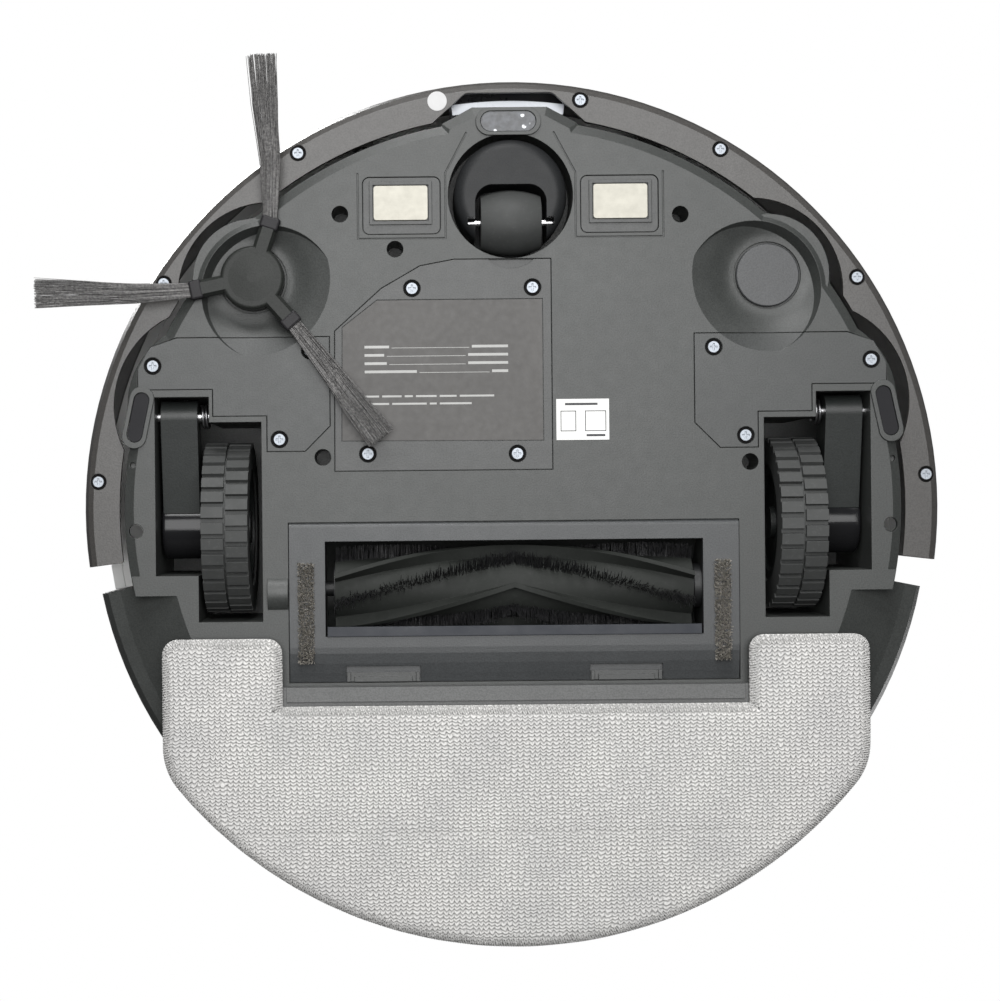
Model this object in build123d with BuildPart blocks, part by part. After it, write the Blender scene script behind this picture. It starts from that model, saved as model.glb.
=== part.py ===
from build123d import *
import math

# Robot vacuum and mop, upright on its wheels, front towards +Y, millimetres.
# Lengths with x and y are given from the upright axis of the round body.

BUMPER_R = 175.0
BODY_R = 173.0
LIP_R = 158.0
BASE_Z = 9.0
COVER_Z = 84.0
TURRET_RISE = 13.0
LID_Z = COVER_Z - 3.0
SIDE_TOP = COVER_Z - 4.6
CORE_TOP = COVER_Z - 6.0
HINGE_Y = -45.0

RIM_R = 155.5
RIM_T = 4.2
FLOOR_T = 3.0
CORE_R = 150.0
WALL = 2.4
FLAT_R = 139.0
REAR_START = 191.4
REAR_SWEEP = 157.2

RUN_GAP = 0.05
SEAT_GAP = 0.3
BUMPER_TRAVEL = 3.5

WHEEL_R = 35.0
WHEEL_X = 115.0
TREAD_W = 18.5
LUGS = 34
AXLE_Y = -7.0
PIVOT_Y = 38.0
PIVOT_Z = 22.0
AXLE_PIN_R = 2.5

CASTER_Y = 124.8
CASTER_R = 13.0
CASTER_TRAIL = 10.5
CASTER_CUP_R = 25.0
CASTER_DISC_R = 22.5
CASTER_STEM_R = 4.0

HUB_X = 103.3
HUB_Y = 92.6
HUB_R = 12.7
CRATER_R = 31.0
CRATER_DEPTH = 5.2
BULGE_X = 96.8
BULGE_Y = 86.8
BEAD_R = 27.0
TUFT_REACH = 89.4

ROLLER_Y = -32.0
ROLLER_Z = 19.5
ROLLER_HALF = 72.0
FIN_R = 17.0
BRISTLE_R = 18.0
CHAMBER_R = 20.5
TWIST = 76
MOUTH_X = 75.4

CLOTH_R = 173.5
CLOTH_T = 4.0
PLATE_T = 4.4

TURRET_Y = 15.0
TURRET_R = 38.0
FAN_Y = -112.0
FAN_Z = 57.0
FAN_R = 18.0

# The origin is under the middle of the whole outline, brush tufts included.
TUFT_TIP_X = HUB_X + 87.0
TUFT_TIP_Y = HUB_Y + TUFT_REACH
BODY_X = -(TUFT_TIP_X - BUMPER_R) / 2
BODY_Y = -(TUFT_TIP_Y - CLOTH_R) / 2
BODY_AXIS = Axis((BODY_X, BODY_Y, 0), (0, 0, 1))


def level(height, x=0.0, y=0.0):
    """A level plane above a point given from the body's axis."""
    return Plane((BODY_X + x, BODY_Y + y, height))


def facing_x(x, y, z):
    """An upright plane facing +X: its x runs forward and its y runs up."""
    return Plane((BODY_X + x, BODY_Y + y, z), x_dir=(0, 1, 0), z_dir=(1, 0, 0))


def facing_y(x, y, z):
    """An upright plane facing -Y: its x runs to +X and its y runs up."""
    return Plane((BODY_X + x, BODY_Y + y, z), x_dir=(1, 0, 0), z_dir=(0, -1, 0))


def radial(angle):
    """An upright plane through the body's axis: x runs outward and y up."""
    a = math.radians(angle)
    out = (math.cos(a), math.sin(a), 0)
    return Plane((BODY_X, BODY_Y, 0), x_dir=out, z_dir=(out[1], -out[0], 0))


def put(x, y, z):
    """A place given from the body's axis."""
    return Locations((BODY_X + x, BODY_Y + y, z))


def block(x0, x1, y0, y1, z0, z1, mode=Mode.ADD):
    """A box between two limits along each axis."""
    with put((x0 + x1) / 2, (y0 + y1) / 2, (z0 + z1) / 2):
        Box(abs(x1 - x0), abs(y1 - y0), z1 - z0, mode=mode)


def post(x, y, z0, z1, radius, mode=Mode.ADD):
    """An upright round post or hole."""
    with put(x, y, (z0 + z1) / 2):
        Cylinder(radius, z1 - z0, mode=mode)


def rod_x(x0, x1, y, z, radius, mode=Mode.ADD):
    """A round rod or hole along X."""
    with put((x0 + x1) / 2, y, z):
        Cylinder(radius, abs(x1 - x0), rotation=(0, 90, 0), mode=mode)


def rod_y(x, y0, y1, z, radius, mode=Mode.ADD):
    """A round rod or hole along Y."""
    with put(x, (y0 + y1) / 2, z):
        Cylinder(radius, abs(y1 - y0), rotation=(90, 0, 0), mode=mode)


def turned(points, start=0.0, sweep=360.0, mode=Mode.ADD):
    """A section of radius and height points turned about the body's axis."""
    with BuildSketch(radial(start)) as section:
        Polygon(*points, align=None)
    revolve(section.sketch, axis=BODY_AXIS, revolution_arc=sweep, mode=mode)


def trimmed(x0, x1, y0, y1, z0, z1, radius, mode=Mode.ADD):
    """A box that ends at a circle about the body's axis."""
    with BuildSketch(level(z0)) as outline:
        Circle(radius)
        with Locations(((x0 + x1) / 2, (y0 + y1) / 2)):
            Rectangle(abs(x1 - x0), abs(y1 - y0), mode=Mode.INTERSECT)
    extrude(outline.sketch, amount=z1 - z0, mode=mode)


def plate(points, z0, z1, grow=0.0, corner=0.0, mode=Mode.ADD):
    """A flat plate with a many-sided outline."""
    with BuildSketch(level(z0)) as outline:
        Polygon(*points, align=None)
        if grow:
            offset(amount=grow, kind=Kind.INTERSECTION)
        if corner:
            fillet(outline.vertices(), corner)
    extrude(outline.sketch, amount=z1 - z0, mode=mode)


def slot_plate(x, y, z0, z1, length, width, turn=0.0, mode=Mode.ADD):
    """A round-ended plate or recess."""
    with BuildSketch(level(z0, x, y)) as outline:
        SlotOverall(length, width, rotation=turn)
    extrude(outline.sketch, amount=z1 - z0, mode=mode)


def finish(part, name):
    part.label = name
    export_step(part, f"parts/{name}.step")


def mirrored(points, side):
    """Outline points for the right side, or mirrored for the left."""
    return [(side * x, y) for x, y in points]


WELL = [
    (143.0, 45.5), (143.0, -26.0), (126.0, -26.0), (126.0, -44.6),
    (100.4, -44.6), (100.4, 35.3), (121.3, 35.3), (121.3, 45.5),
]
WHEEL_COVER = [
    (73.0, 69.0), (134.0, 69.0), (144.5, 65.5), (149.5, 57.0), (149.5, 48.6),
    (119.6, 48.6), (119.6, 37.8), (98.0, 37.8), (98.0, 23.5), (83.0, 23.5),
    (73.0, 33.5),
]
BATTERY_COVER = [
    (70.6, 71.2), (71.0, 15.4), (-15.8, 15.4), (-15.8, 99.4),
    (22.8, 99.4), (36.4, 96.9), (52.0, 88.0),
]
LABEL = [(67.8, 72.8), (68.3, 27.2), (-12.5, 26.8), (-12.5, 83.6), (53.8, 83.6)]
NOSE = [
    (29.0, 148.0), (27.0, 154.0), (15.0, 160.5), (-15.0, 160.5), (-27.0, 154.0), (-29.0, 148.0),
]
NOTCH = [
    (42.0, 138.0), (33.0, 153.0), (17.5, 167.0), (-17.5, 167.0), (-33.0, 153.0), (-42.0, 138.0),
]
PLATE_OUTLINE_X = 91.0

BATTERY_SCREWS = [(39.7, 88.1), (-8.5, 88.1), (57.9, 22.1), (-1.9, 21.7)]
WHEEL_SCREWS = [(143.6, 58.0), (80.7, 63.6), (93.2, 28.2)]
CASE_HOLES = [(68.2, 118.0), (-67.8, 116.7), (75.9, 20.9), (-94.8, 17.6), (46.3, 103.8)]
RIM_HOLES = [(150.9, -8.0), (-150.9, -8.0)]
SEAM = [(17.5, 150.0), (26.0, 134.0), (26.0, 108.0), (61.0, 108.0), (61.0, 134.0)]
BUMPER_SCREWS = [(28.8, 163.8), (85.0, 143.5), (139.5, 91.5), (166.5, 12.0)]
SPRING_X = 60.0
SPRING_Z = 44.0


def contact_seat(side):
    """The outline of the seat round one charging contact."""
    return mirrored([(28.2, 109.9), (58.9, 109.9), (58.9, 132.4), (28.2, 132.4)], side)


def seam(points):
    """A fine groove in the underside along a broken line."""
    for (x0, y0), (x1, y1) in zip(points, points[1:]):
        turn = math.degrees(math.atan2(y1 - y0, x1 - x0))
        with put((x0 + x1) / 2, (y0 + y1) / 2, BASE_Z):
            Box(math.hypot(x1 - x0, y1 - y0) + 0.5, 0.6, 1.0, rotation=(0, 0, turn), mode=Mode.SUBTRACT)


def crater(side):
    """The dish round a side brush or its blank, which stops short of the rim."""
    with BuildPart(mode=Mode.PRIVATE) as dish:
        with BuildSketch(facing_y(side * HUB_X, HUB_Y, 0)) as section:
            with BuildLine():
                line = Spline(
                    (CRATER_R, BASE_Z),
                    (CRATER_R - 3.4, BASE_Z + 0.2 * CRATER_DEPTH),
                    (CRATER_R - 8.0, BASE_Z + 0.5 * CRATER_DEPTH),
                    (CRATER_R - 13.0, BASE_Z + 0.9 * CRATER_DEPTH),
                    (HUB_R - 1.0, BASE_Z + CRATER_DEPTH),
                )
                below = BASE_Z - 3.0
                Polyline(line @ 1, (0, BASE_Z + CRATER_DEPTH), (0, below), (CRATER_R, below), line @ 0)
            make_face()
        revolve(section.sketch, axis=Axis((BODY_X + side * HUB_X, BODY_Y + HUB_Y, 0), (0, 0, 1)))
        with put(side * BULGE_X, BULGE_Y, BASE_Z + 2.0):
            Cone(BEAD_R + 1.6, BEAD_R - 3.6, 10.0, mode=Mode.INTERSECT)
    add(dish.part, mode=Mode.SUBTRACT)


def base_front():
    """The front half of the floor with its rim, nose and side bulges."""
    with BuildSketch(level(BASE_Z)) as outline:
        Circle(RIM_R)
        for side in (1, -1):
            with Locations((side * BULGE_X, BULGE_Y)):
                Circle(CRATER_R)
            with Locations((side * 120.0, 42.0)):
                Circle(34.0)
        with Locations((0, -131.0)):
            Rectangle(400.0, 200.0, mode=Mode.SUBTRACT)
        Polygon(*NOSE, align=None)
    with BuildPart() as floor:
        extrude(outline.sketch, amount=RIM_T)
        underside = floor.faces().sort_by(Axis.Z)[0]
        chamfer(underside.outer_wire().edges(), 3.8, 2.0, reference=underside)
    return floor.part


def rear_section():
    """The rear floor, its slope and its side wall, as one wall's section."""
    top = SIDE_TOP
    return [
        (0, BASE_Z), (FLAT_R, BASE_Z), (BODY_R - 11.0, 19.5), (BODY_R - 5.8, 20.8), (BODY_R - 3.6, 24.0),
        (BODY_R - 1.8, 32.0), (BODY_R, 46.0), (BODY_R, top), (BODY_R - WALL, top), (BODY_R - WALL, 46.4),
        (BODY_R - 4.2, 32.4), (BODY_R - 6.0, 25.0), (BODY_R - 7.4, 23.2), (BODY_R - 11.6, 22.0),
        (FLAT_R - 0.6, BASE_Z + FLOOR_T), (0, BASE_Z + FLOOR_T),
    ]


def end_wall_section():
    """A closing wall at an end of the rear body."""
    return [
        (CORE_R - WALL, BASE_Z + FLOOR_T), (FLAT_R, BASE_Z + 0.1), (BODY_R - 11.0, 19.6),
        (BODY_R - 5.8, 20.9), (BODY_R - 3.6, 24.1), (BODY_R - 1.8, 32.0), (BODY_R, 46.0),
        (BODY_R, SIDE_TOP), (CORE_R - WALL, SIDE_TOP),
    ]


def wheel_well(side, grow, z0, z1, mode):
    """A wheel's stepped well, from the floor up."""
    plate(mirrored(WELL, side), z0, z1, grow=grow, mode=mode)


def sensor_seats(z0, z1, grow, mode):
    """The three round-ended seats of the cliff sensors."""
    slot_plate(0.6, 154.4, z0, z1, 22.0 + grow, 8.0 + grow, mode=mode)
    for side in (1, -1):
        slot_plate(side * 149.5, 37.5, z0, z1, 20.0 + grow, 6.0 + grow, 90 + side * 12, mode)


def base_walls():
    """Everything that stands up from the floor, before the hollows are cut."""
    turned(
        [(CORE_R - WALL, 12), (CORE_R, 12), (CORE_R, CORE_TOP), (CORE_R - WALL, CORE_TOP)],
        start=REAR_START + REAR_SWEEP - 360, sweep=360 - REAR_SWEEP,
    )
    for start in (REAR_START, REAR_START + REAR_SWEEP - 0.9):
        turned(end_wall_section(), start=start, sweep=0.9)
    for side in (1, -1):
        wheel_well(side, 1.8, BASE_Z + 0.5, WHEEL_R * 2 + 5.0, Mode.ADD)
        post(side * HUB_X, HUB_Y, BASE_Z + 1, 17.0, 24.0)
        rod_y(side * SPRING_X, 134.0, 156.0, SPRING_Z, 2.5)
    post(HUB_X, HUB_Y, 16.0, 40.0, 22.0)
    post(0, CASTER_Y, BASE_Z + 0.2, 34.0, CASTER_CUP_R + 2.2)
    post(0, CASTER_Y, 33.0, 46.0, 9.0)
    block(-92, 92, -71, -30, 11.0, 13.4)
    block(-77.8, 77.8, -55.5, -9, 11.0, 43.0)
    block(-11.0, 68.0, 22.0, 96.0, 12.0, 36.0)
    block(-63.0, 71.0, -143.0, -61.0, 24.0, CORE_TOP)
    trimmed(-75.2, 75.2, -180.0, -95.0, 11.0, 37.0, FLAT_R + 4.0)
    trimmed(-75.2, 75.2, -180.0, -95.0, 22.0, 37.0, BODY_R - 2.6)
    rod_x(90.3, 98.4, -33.5, 14.4, 8.3)
    for x, y in CASE_HOLES:
        post(x, y, 12.0, 34.0, 5.6)
    for x, y in ((-60, 72), (60, 72), (-60, 126), (60, 126)):
        post(x, y, 13.0, 56.0, 3.5)


def base_hollows():
    """Every hollow in the floor and its walls."""
    for side in (1, -1):
        wheel_well(side, 0, 0, WHEEL_R * 2 + 3.4, Mode.SUBTRACT)
        plate(mirrored(WHEEL_COVER, side), 0, BASE_Z + 3.2, grow=SEAT_GAP, mode=Mode.SUBTRACT)
        crater(side)
        post(side * HUB_X, HUB_Y, 0, 15.6, HUB_R + 0.8, mode=Mode.SUBTRACT)
        rod_x(side * 119.0, side * 146.0, PIVOT_Y, PIVOT_Z, AXLE_PIN_R + 0.02, mode=Mode.SUBTRACT)
    post(HUB_X, HUB_Y, 17.6, 41.0, 20.2, mode=Mode.SUBTRACT)
    post(HUB_X, HUB_Y, 14.0, 18.0, 3.2, mode=Mode.SUBTRACT)
    post(0, CASTER_Y, 0, 31.6, CASTER_CUP_R, mode=Mode.SUBTRACT)
    post(0, CASTER_Y, 31.0, 47.0, CASTER_STEM_R + RUN_GAP, mode=Mode.SUBTRACT)
    block(-90.1, 90.1, -69.3, -5.1, 0, 11.4, mode=Mode.SUBTRACT)
    rod_x(-75.7, 75.7, ROLLER_Y, ROLLER_Z, CHAMBER_R, mode=Mode.SUBTRACT)
    block(-75.7, 75.7, ROLLER_Y - CHAMBER_R, ROLLER_Y + CHAMBER_R, 8.0, ROLLER_Z, mode=Mode.SUBTRACT)
    rod_x(75.0, 78.5, ROLLER_Y, ROLLER_Z, 4.5, mode=Mode.SUBTRACT)
    block(-33, 33, -66, -45, 29.0, 37.0, mode=Mode.SUBTRACT)
    plate(BATTERY_COVER, 0, 11.2, grow=SEAT_GAP, mode=Mode.SUBTRACT)
    block(-9.0, 61.5, 26.2, 76.0, 8.0, 34.0, mode=Mode.SUBTRACT)
    block(-61.0, 69.0, -141.0, -63.0, 37.2, COVER_Z, mode=Mode.SUBTRACT)
    block(-61.0, 69.0, -93.4, -63.0, 25.6, COVER_Z, mode=Mode.SUBTRACT)
    rod_x(-65.0, -58.0, FAN_Y, FAN_Z, 9.0, mode=Mode.SUBTRACT)
    block(-73.0, 73.0, -180.0, -97.0, 0, 35.0, mode=Mode.SUBTRACT)
    for side in (1, -1):
        plate(contact_seat(side), 0, 11.4, grow=SEAT_GAP, corner=2.8, mode=Mode.SUBTRACT)
        block(side * 72.0, side * 74.2, -180.0, -98.0, 26.6, 31.4, mode=Mode.SUBTRACT)
        post(side * 151.9, 18.4, 0, 12.6, 1.3, mode=Mode.SUBTRACT)
        seam(mirrored(SEAM, side))
    sensor_seats(0, 11.0, 0.3, Mode.SUBTRACT)
    for x, y in CASE_HOLES:
        post(x, y, 0, 31.0, 3.3, mode=Mode.SUBTRACT)
    for x, y in RIM_HOLES:
        post(x, y, 0, 28.0, 2.9, mode=Mode.SUBTRACT)
    for x, y in screw_places():
        post(x, y, 11.0, 15.0, 1.5, mode=Mode.SUBTRACT)


def screw_places():
    """Where the screws of the battery cover and wheel covers stand."""
    places = list(BATTERY_SCREWS)
    for side in (1, -1):
        places += mirrored(WHEEL_SCREWS, side)
    return places


with BuildPart() as base_shell:
    add(base_front())
    turned(rear_section(), start=REAR_START, sweep=REAR_SWEEP)
    for side in (1, -1):
        trimmed(side * 100, side * 154, -34.0, -26.0, BASE_Z, BASE_Z + RIM_T, RIM_R - 0.5)
    base_walls()
    base_hollows()
    with BuildSketch(level(BASE_Z)) as bezels:
        with Locations((0.6, 154.4)):
            SlotOverall(26.0, 11.0)
            SlotOverall(22.3, 8.3, mode=Mode.SUBTRACT)
        for side in (1, -1):
            with Locations(Location((side * 149.5, 37.5, 0), (0, 0, 90 + side * 12))):
                SlotOverall(25.0, 9.6)
                SlotOverall(20.3, 6.3, mode=Mode.SUBTRACT)
    extrude(bezels.sketch, amount=-1.2)
    for angle in range(-72, -36, 3):
        a = math.radians(angle)
        with put(172.0 * math.cos(a), 172.0 * math.sin(a), 50.0):
            Box(12.0, 2.4, 26.0, rotation=(0, 0, angle), mode=Mode.SUBTRACT)

finish(base_shell.part, "base_shell")


with BuildPart() as top_cover:
    turned(
        [
            (0, LID_Z), (168.0, LID_Z), (168.0, SIDE_TOP + 0.3), (172.4, SIDE_TOP + 0.3),
            (172.4, COVER_Z - 1.4), (171.0, COVER_Z), (0, COVER_Z),
        ]
    )
    post(0, TURRET_Y, LID_Z - 3, COVER_Z + 2, TURRET_R + 1.0, mode=Mode.SUBTRACT)
    block(-80.0, 80.0, -150.0, -42.0, LID_Z - 3, COVER_Z + 2, mode=Mode.SUBTRACT)
    post(0, 138.0, LID_Z - 3, COVER_Z + 2, 8.0, mode=Mode.SUBTRACT)
    for side in (1, -1):
        block(side * 74.0, side * 82.0, -47.6, -41.0, LID_Z - 3.0, COVER_Z - 0.6)
    rod_x(-78.0, 78.0, HINGE_Y, LID_Z, 1.2, mode=Mode.SUBTRACT)
    rod_x(-73.6, 73.6, HINGE_Y, LID_Z, 3.6, mode=Mode.SUBTRACT)

finish(top_cover.part, "top_cover")


with BuildPart() as lid_pin:
    rod_x(-77.9, 77.9, HINGE_Y, LID_Z, 1.19)

finish(lid_pin.part, "lid_pin")


with BuildPart() as top_lid:
    rod_x(-73.2, 73.2, HINGE_Y, LID_Z, 3.0)
    block(-73.2, 73.2, -50.0, HINGE_Y, LID_Z, COVER_Z)
    block(-79.2, 79.2, -149.2, -49.0, LID_Z, COVER_Z)
    block(-70.0, 70.0, -140.0, -60.0, LID_Z - 1.4, LID_Z)
    block(-64.0, 64.0, -134.0, -66.0, LID_Z - 2.0, LID_Z + 0.2, mode=Mode.SUBTRACT)
    rod_x(-74.0, 74.0, HINGE_Y, LID_Z, 1.19 + RUN_GAP, mode=Mode.SUBTRACT)

finish(top_lid.part, "top_lid")


with BuildPart() as power_button:
    post(0, 138.0, LID_Z - 0.6, COVER_Z + 0.2, 7.6)
    post(0, 138.0, LID_Z - 3.4, LID_Z - 0.4, 2.5)

finish(power_button.part, "power_button")


with BuildPart() as battery_cover:
    plate(BATTERY_COVER, BASE_Z, BASE_Z + 2.0)
    plate(LABEL, BASE_Z - 1, BASE_Z + 0.5, mode=Mode.SUBTRACT)
    for x, y in BATTERY_SCREWS:
        post(x, y, BASE_Z - 1, BASE_Z + 1.2, 3.5, mode=Mode.SUBTRACT)
        post(x, y, BASE_Z, BASE_Z + 3.0, 1.6, mode=Mode.SUBTRACT)
    with BuildSketch(level(BASE_Z - 1, 0, 104.2)):
        Ellipse(11.0, 8.4)
    extrude(amount=2.6, mode=Mode.SUBTRACT)

finish(battery_cover.part, "battery_cover")


with BuildPart() as rating_label:
    plate(LABEL, BASE_Z + 0.15, BASE_Z + 0.5, grow=-0.25)

finish(rating_label.part, "rating_label")


with BuildPart() as approval_label:
    block(-38.6, -17.5, 26.9, 43.3, BASE_Z - 0.2, BASE_Z)

finish(approval_label.part, "approval_label")


def wheel_cover(side):
    with BuildPart() as cover:
        plate(mirrored(WHEEL_COVER, side), BASE_Z, BASE_Z + 3.0)
        crater(side)
        for x, y in mirrored(WHEEL_SCREWS, side):
            post(x, y, BASE_Z - 1, BASE_Z + 1.2, 3.5, mode=Mode.SUBTRACT)
            post(x, y, BASE_Z, BASE_Z + 4.0, 1.6, mode=Mode.SUBTRACT)
    return cover.part


finish(wheel_cover(1), "wheel_cover_right")
finish(wheel_cover(-1), "wheel_cover_left")


def screw(x, y, z, head_r, shank_r, length):
    """A pan-head screw pointing up, its head resting below z."""
    post(x, y, z - 1.0, z, head_r)
    post(x, y, z, z + length, shank_r)
    with put(x, y, z - 1.0):
        Box(head_r * 1.3, 0.7, 1.1, mode=Mode.SUBTRACT)
        Box(0.7, head_r * 1.3, 1.1, mode=Mode.SUBTRACT)


with BuildPart() as screws:
    for x, y in screw_places():
        screw(x, y, BASE_Z + 1.2, 2.25, 1.3, 4.0)

finish(screws.part, "screws")


with BuildPart() as contact_seats:
    for side in (1, -1):
        plate(contact_seat(side), BASE_Z + 0.3, 11.3, corner=2.5)
        block(side * 31.4, side * 56.4, 113.6, 130.8, BASE_Z - 0.3, 10.4)
        block(side * 32.8, side * 55.0, 115.0, 129.4, BASE_Z - 1, 10.0, mode=Mode.SUBTRACT)

finish(contact_seats.part, "contact_seats")


with BuildPart() as charging_contacts:
    for side in (1, -1):
        block(side * 33.1, side * 54.7, 115.35, 129.05, BASE_Z - 0.5, 10.0)
    fillet(charging_contacts.edges().filter_by(Axis.Z), 1.2)

finish(charging_contacts.part, "charging_contacts")


with BuildPart() as front_cliff_lens:
    slot_plate(0.6, 154.4, 8.3, 10.9, 21.9, 7.9)

finish(front_cliff_lens.part, "front_cliff_lens")


with BuildPart() as side_cliff_lenses:
    for side in (1, -1):
        slot_plate(side * 149.5, 37.5, 8.3, 10.9, 19.9, 5.9, turn=90 + side * 12)

finish(side_cliff_lenses.part, "side_cliff_lenses")


with BuildPart() as caster_swivel:
    post(0, CASTER_Y, 6.0, 30.6, CASTER_DISC_R)
    fillet(caster_swivel.faces().sort_by(Axis.Z)[0].edges(), 5.0)
    post(0, CASTER_Y, 30.0, 45.0, CASTER_STEM_R)
    axle_y = CASTER_Y - CASTER_TRAIL
    arch = [(-14.2, axle_y - 24.0), (14.2, axle_y - 24.0), (14.2, axle_y + 14.6), (-14.2, axle_y + 14.6)]
    plate(arch, 0, 27.6, corner=7.0, mode=Mode.SUBTRACT)
    block(-17.2, 17.2, axle_y - 1.6, axle_y + 1.6, 0, CASTER_R, mode=Mode.SUBTRACT)
    rod_x(-17.2, 17.2, axle_y, CASTER_R, 1.6, mode=Mode.SUBTRACT)

finish(caster_swivel.part, "caster_swivel")


with BuildPart() as caster_axle:
    rod_x(-17.0, 17.0, CASTER_Y - CASTER_TRAIL, CASTER_R, 1.58)

finish(caster_axle.part, "caster_axle")


with BuildPart() as caster_wheel:
    axle_line = Axis((BODY_X, BODY_Y + CASTER_Y - CASTER_TRAIL, CASTER_R), (1, 0, 0))
    with BuildSketch(facing_y(0, CASTER_Y - CASTER_TRAIL, CASTER_R)):
        with BuildLine():
            Polyline((12.0, 10.6), (12.0, 1.58 + RUN_GAP), (-12.0, 1.58 + RUN_GAP), (-12.0, 10.6))
            ThreePointArc((-12.0, 10.6), (0, CASTER_R), (12.0, 10.6))
        make_face()
    revolve(axis=axle_line)

finish(caster_wheel.part, "caster_wheel")


ARM_ANGLES = (108.5, -11.5, 228.5)
TUFT_TIPS = (
    (HUB_X - 5.0, HUB_Y + TUFT_REACH - 0.5), (TUFT_TIP_X - 0.3, HUB_Y - 5.8), (HUB_X - 51.3, HUB_Y - 64.5),
)


def polar(angle, radius):
    return radius * math.cos(math.radians(angle)), radius * math.sin(math.radians(angle))


with BuildPart() as side_brush_hub:
    post(HUB_X, HUB_Y, 5.0, 13.4, HUB_R)
    fillet(side_brush_hub.faces().sort_by(Axis.Z)[0].edges(), 1.6)
    for angle in ARM_ANGLES:
        way_x, way_y = polar(angle, 1.0)
        start = (BODY_X + HUB_X + 8.0 * way_x, BODY_Y + HUB_Y + 8.0 * way_y, 0)
        with BuildSketch(Plane(start, x_dir=(-way_y, way_x, 0), z_dir=(way_x, way_y, 0))):
            Polygon((-3.6, 8.6), (-3.6, 6.6), (-2.3, 5.0), (2.3, 5.0), (3.6, 6.6), (3.6, 8.6), align=None)
        extrude(amount=17.2)
    with put(HUB_X, HUB_Y, 4.7):
        Cone(2.0, 10.5, 0.8)
    post(HUB_X, HUB_Y, 13.0, 24.0, 2.5)

finish(side_brush_hub.part, "side_brush_hub")


def tuft(angle, tip):
    """One bunch of bristles, from an arm's end to its spread tip."""
    x, y = polar(angle, 26.4)
    root = Vector(BODY_X + HUB_X + x, BODY_Y + HUB_Y + y, 6.9)
    end = Vector(BODY_X + tip[0], BODY_Y + tip[1], 3.0)
    way = (end - root).normalized()
    across = way.cross(Vector(0, 0, 1)).normalized()
    with BuildSketch(Plane(root, x_dir=across, z_dir=way)) as wide_root:
        Rectangle(6.0, 2.6)
    with BuildSketch(Plane(end, x_dir=across, z_dir=way)) as wide_tip:
        Rectangle(11.0, 1.4)
    return loft([wide_root.sketch.face(), wide_tip.sketch.face()])


TUFTS = [tuft(angle, tip) for angle, tip in zip(ARM_ANGLES, TUFT_TIPS)]
with BuildPart() as side_brush_tufts:
    for bunch in TUFTS:
        add(bunch)

finish(side_brush_tufts.part, "side_brush_tufts")


with BuildPart() as side_brush_gearbox:
    post(HUB_X, HUB_Y, 17.9, 40.0, 19.6)
    post(HUB_X, HUB_Y, 40.0, 60.0, 8.0)
    post(HUB_X, HUB_Y, 16.0, 26.0, 2.5 + RUN_GAP, mode=Mode.SUBTRACT)

finish(side_brush_gearbox.part, "side_brush_gearbox")


with BuildPart() as brush_cap:
    post(-HUB_X, HUB_Y, 13.3, 15.5, HUB_R)
    chamfer(brush_cap.faces().sort_by(Axis.Z)[0].edges(), 0.4)

finish(brush_cap.part, "brush_cap")


LATCHES = {"right": (38.0, 67.0), "left": (-58.8, -30.5)}

with BuildPart() as brush_cover:
    block(-89.8, 89.8, -69.0, -7.0, 7.8, 11.2)
    rod_x(-89.8, 89.8, -7.0, 9.4, 1.6)
    block(-MOUTH_X, MOUTH_X, -50.8, -12.8, 6, 12, mode=Mode.SUBTRACT)
    with BuildSketch(facing_x(-91.0, 0, 0)):
        Polygon(
            (-53.5, 7.7), (-57.5, 7.95), (-61.5, 8.6), (-65.5, 9.5), (-69.5, 10.6), (-70.0, 7.0),
            align=None,
        )
    extrude(amount=182.0, mode=Mode.SUBTRACT)
    for x0, x1 in LATCHES.values():
        block(x0 - 0.4, x1 + 0.4, -70.0, -62.6, 7.0, 10.7, mode=Mode.SUBTRACT)

finish(brush_cover.part, "brush_cover")


def brush_latch(x0, x1):
    with BuildPart() as latch:
        block(x0, x1, -68.9, -65.2, 9.9, 10.6)
        block(x0 + 3.0, x1 - 3.0, -68.9, -66.8, 8.7, 10.6)
        for x in (x0 + 0.7, x1 - 0.7):
            block(x - 0.7, x + 0.7, -68.9, -65.2, 8.9, 10.6)
    return latch.part


for name, (x0, x1) in LATCHES.items():
    finish(brush_latch(x0, x1), f"brush_latch_{name}")


with BuildPart() as pile_strips:
    for side in (1, -1):
        block(side * 79.7, side * 86.4, -61.5, -21.0, 5.6, 7.8)

finish(pile_strips.part, "pile_strips")


with BuildPart() as scraper_lip:
    block(-74.6, 74.6, -50.7, -46.8, 7.0, 8.6)

finish(scraper_lip.part, "scraper_lip")


def chevron_rib(inner, outer, thick, angle, twist):
    """One rib of the roller, bent to a V in the middle."""
    centre = Vector(BODY_X, BODY_Y + ROLLER_Y, ROLLER_Z)
    up = (0, *polar(angle, 1.0))
    halves = []
    for way in (1, -1):
        with BuildSketch(Plane(centre, x_dir=up, z_dir=(way, 0, 0))) as section:
            with Locations(((inner + outer) / 2, 0)):
                Rectangle(outer - inner, thick)
        run = Vector(way * (ROLLER_HALF - 0.5), 0, 0)
        halves.append(Solid.extrude_linear_with_rotation(section.sketch.face(), centre, run, way * twist))
    return halves


with BuildPart() as roller_core:
    rod_x(-ROLLER_HALF, ROLLER_HALF, ROLLER_Y, ROLLER_Z, 10.5)
    rod_x(-ROLLER_HALF - 3.0, ROLLER_HALF + 9.0, ROLLER_Y, ROLLER_Z, 3.0)

finish(roller_core.part, "roller_core")


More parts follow.
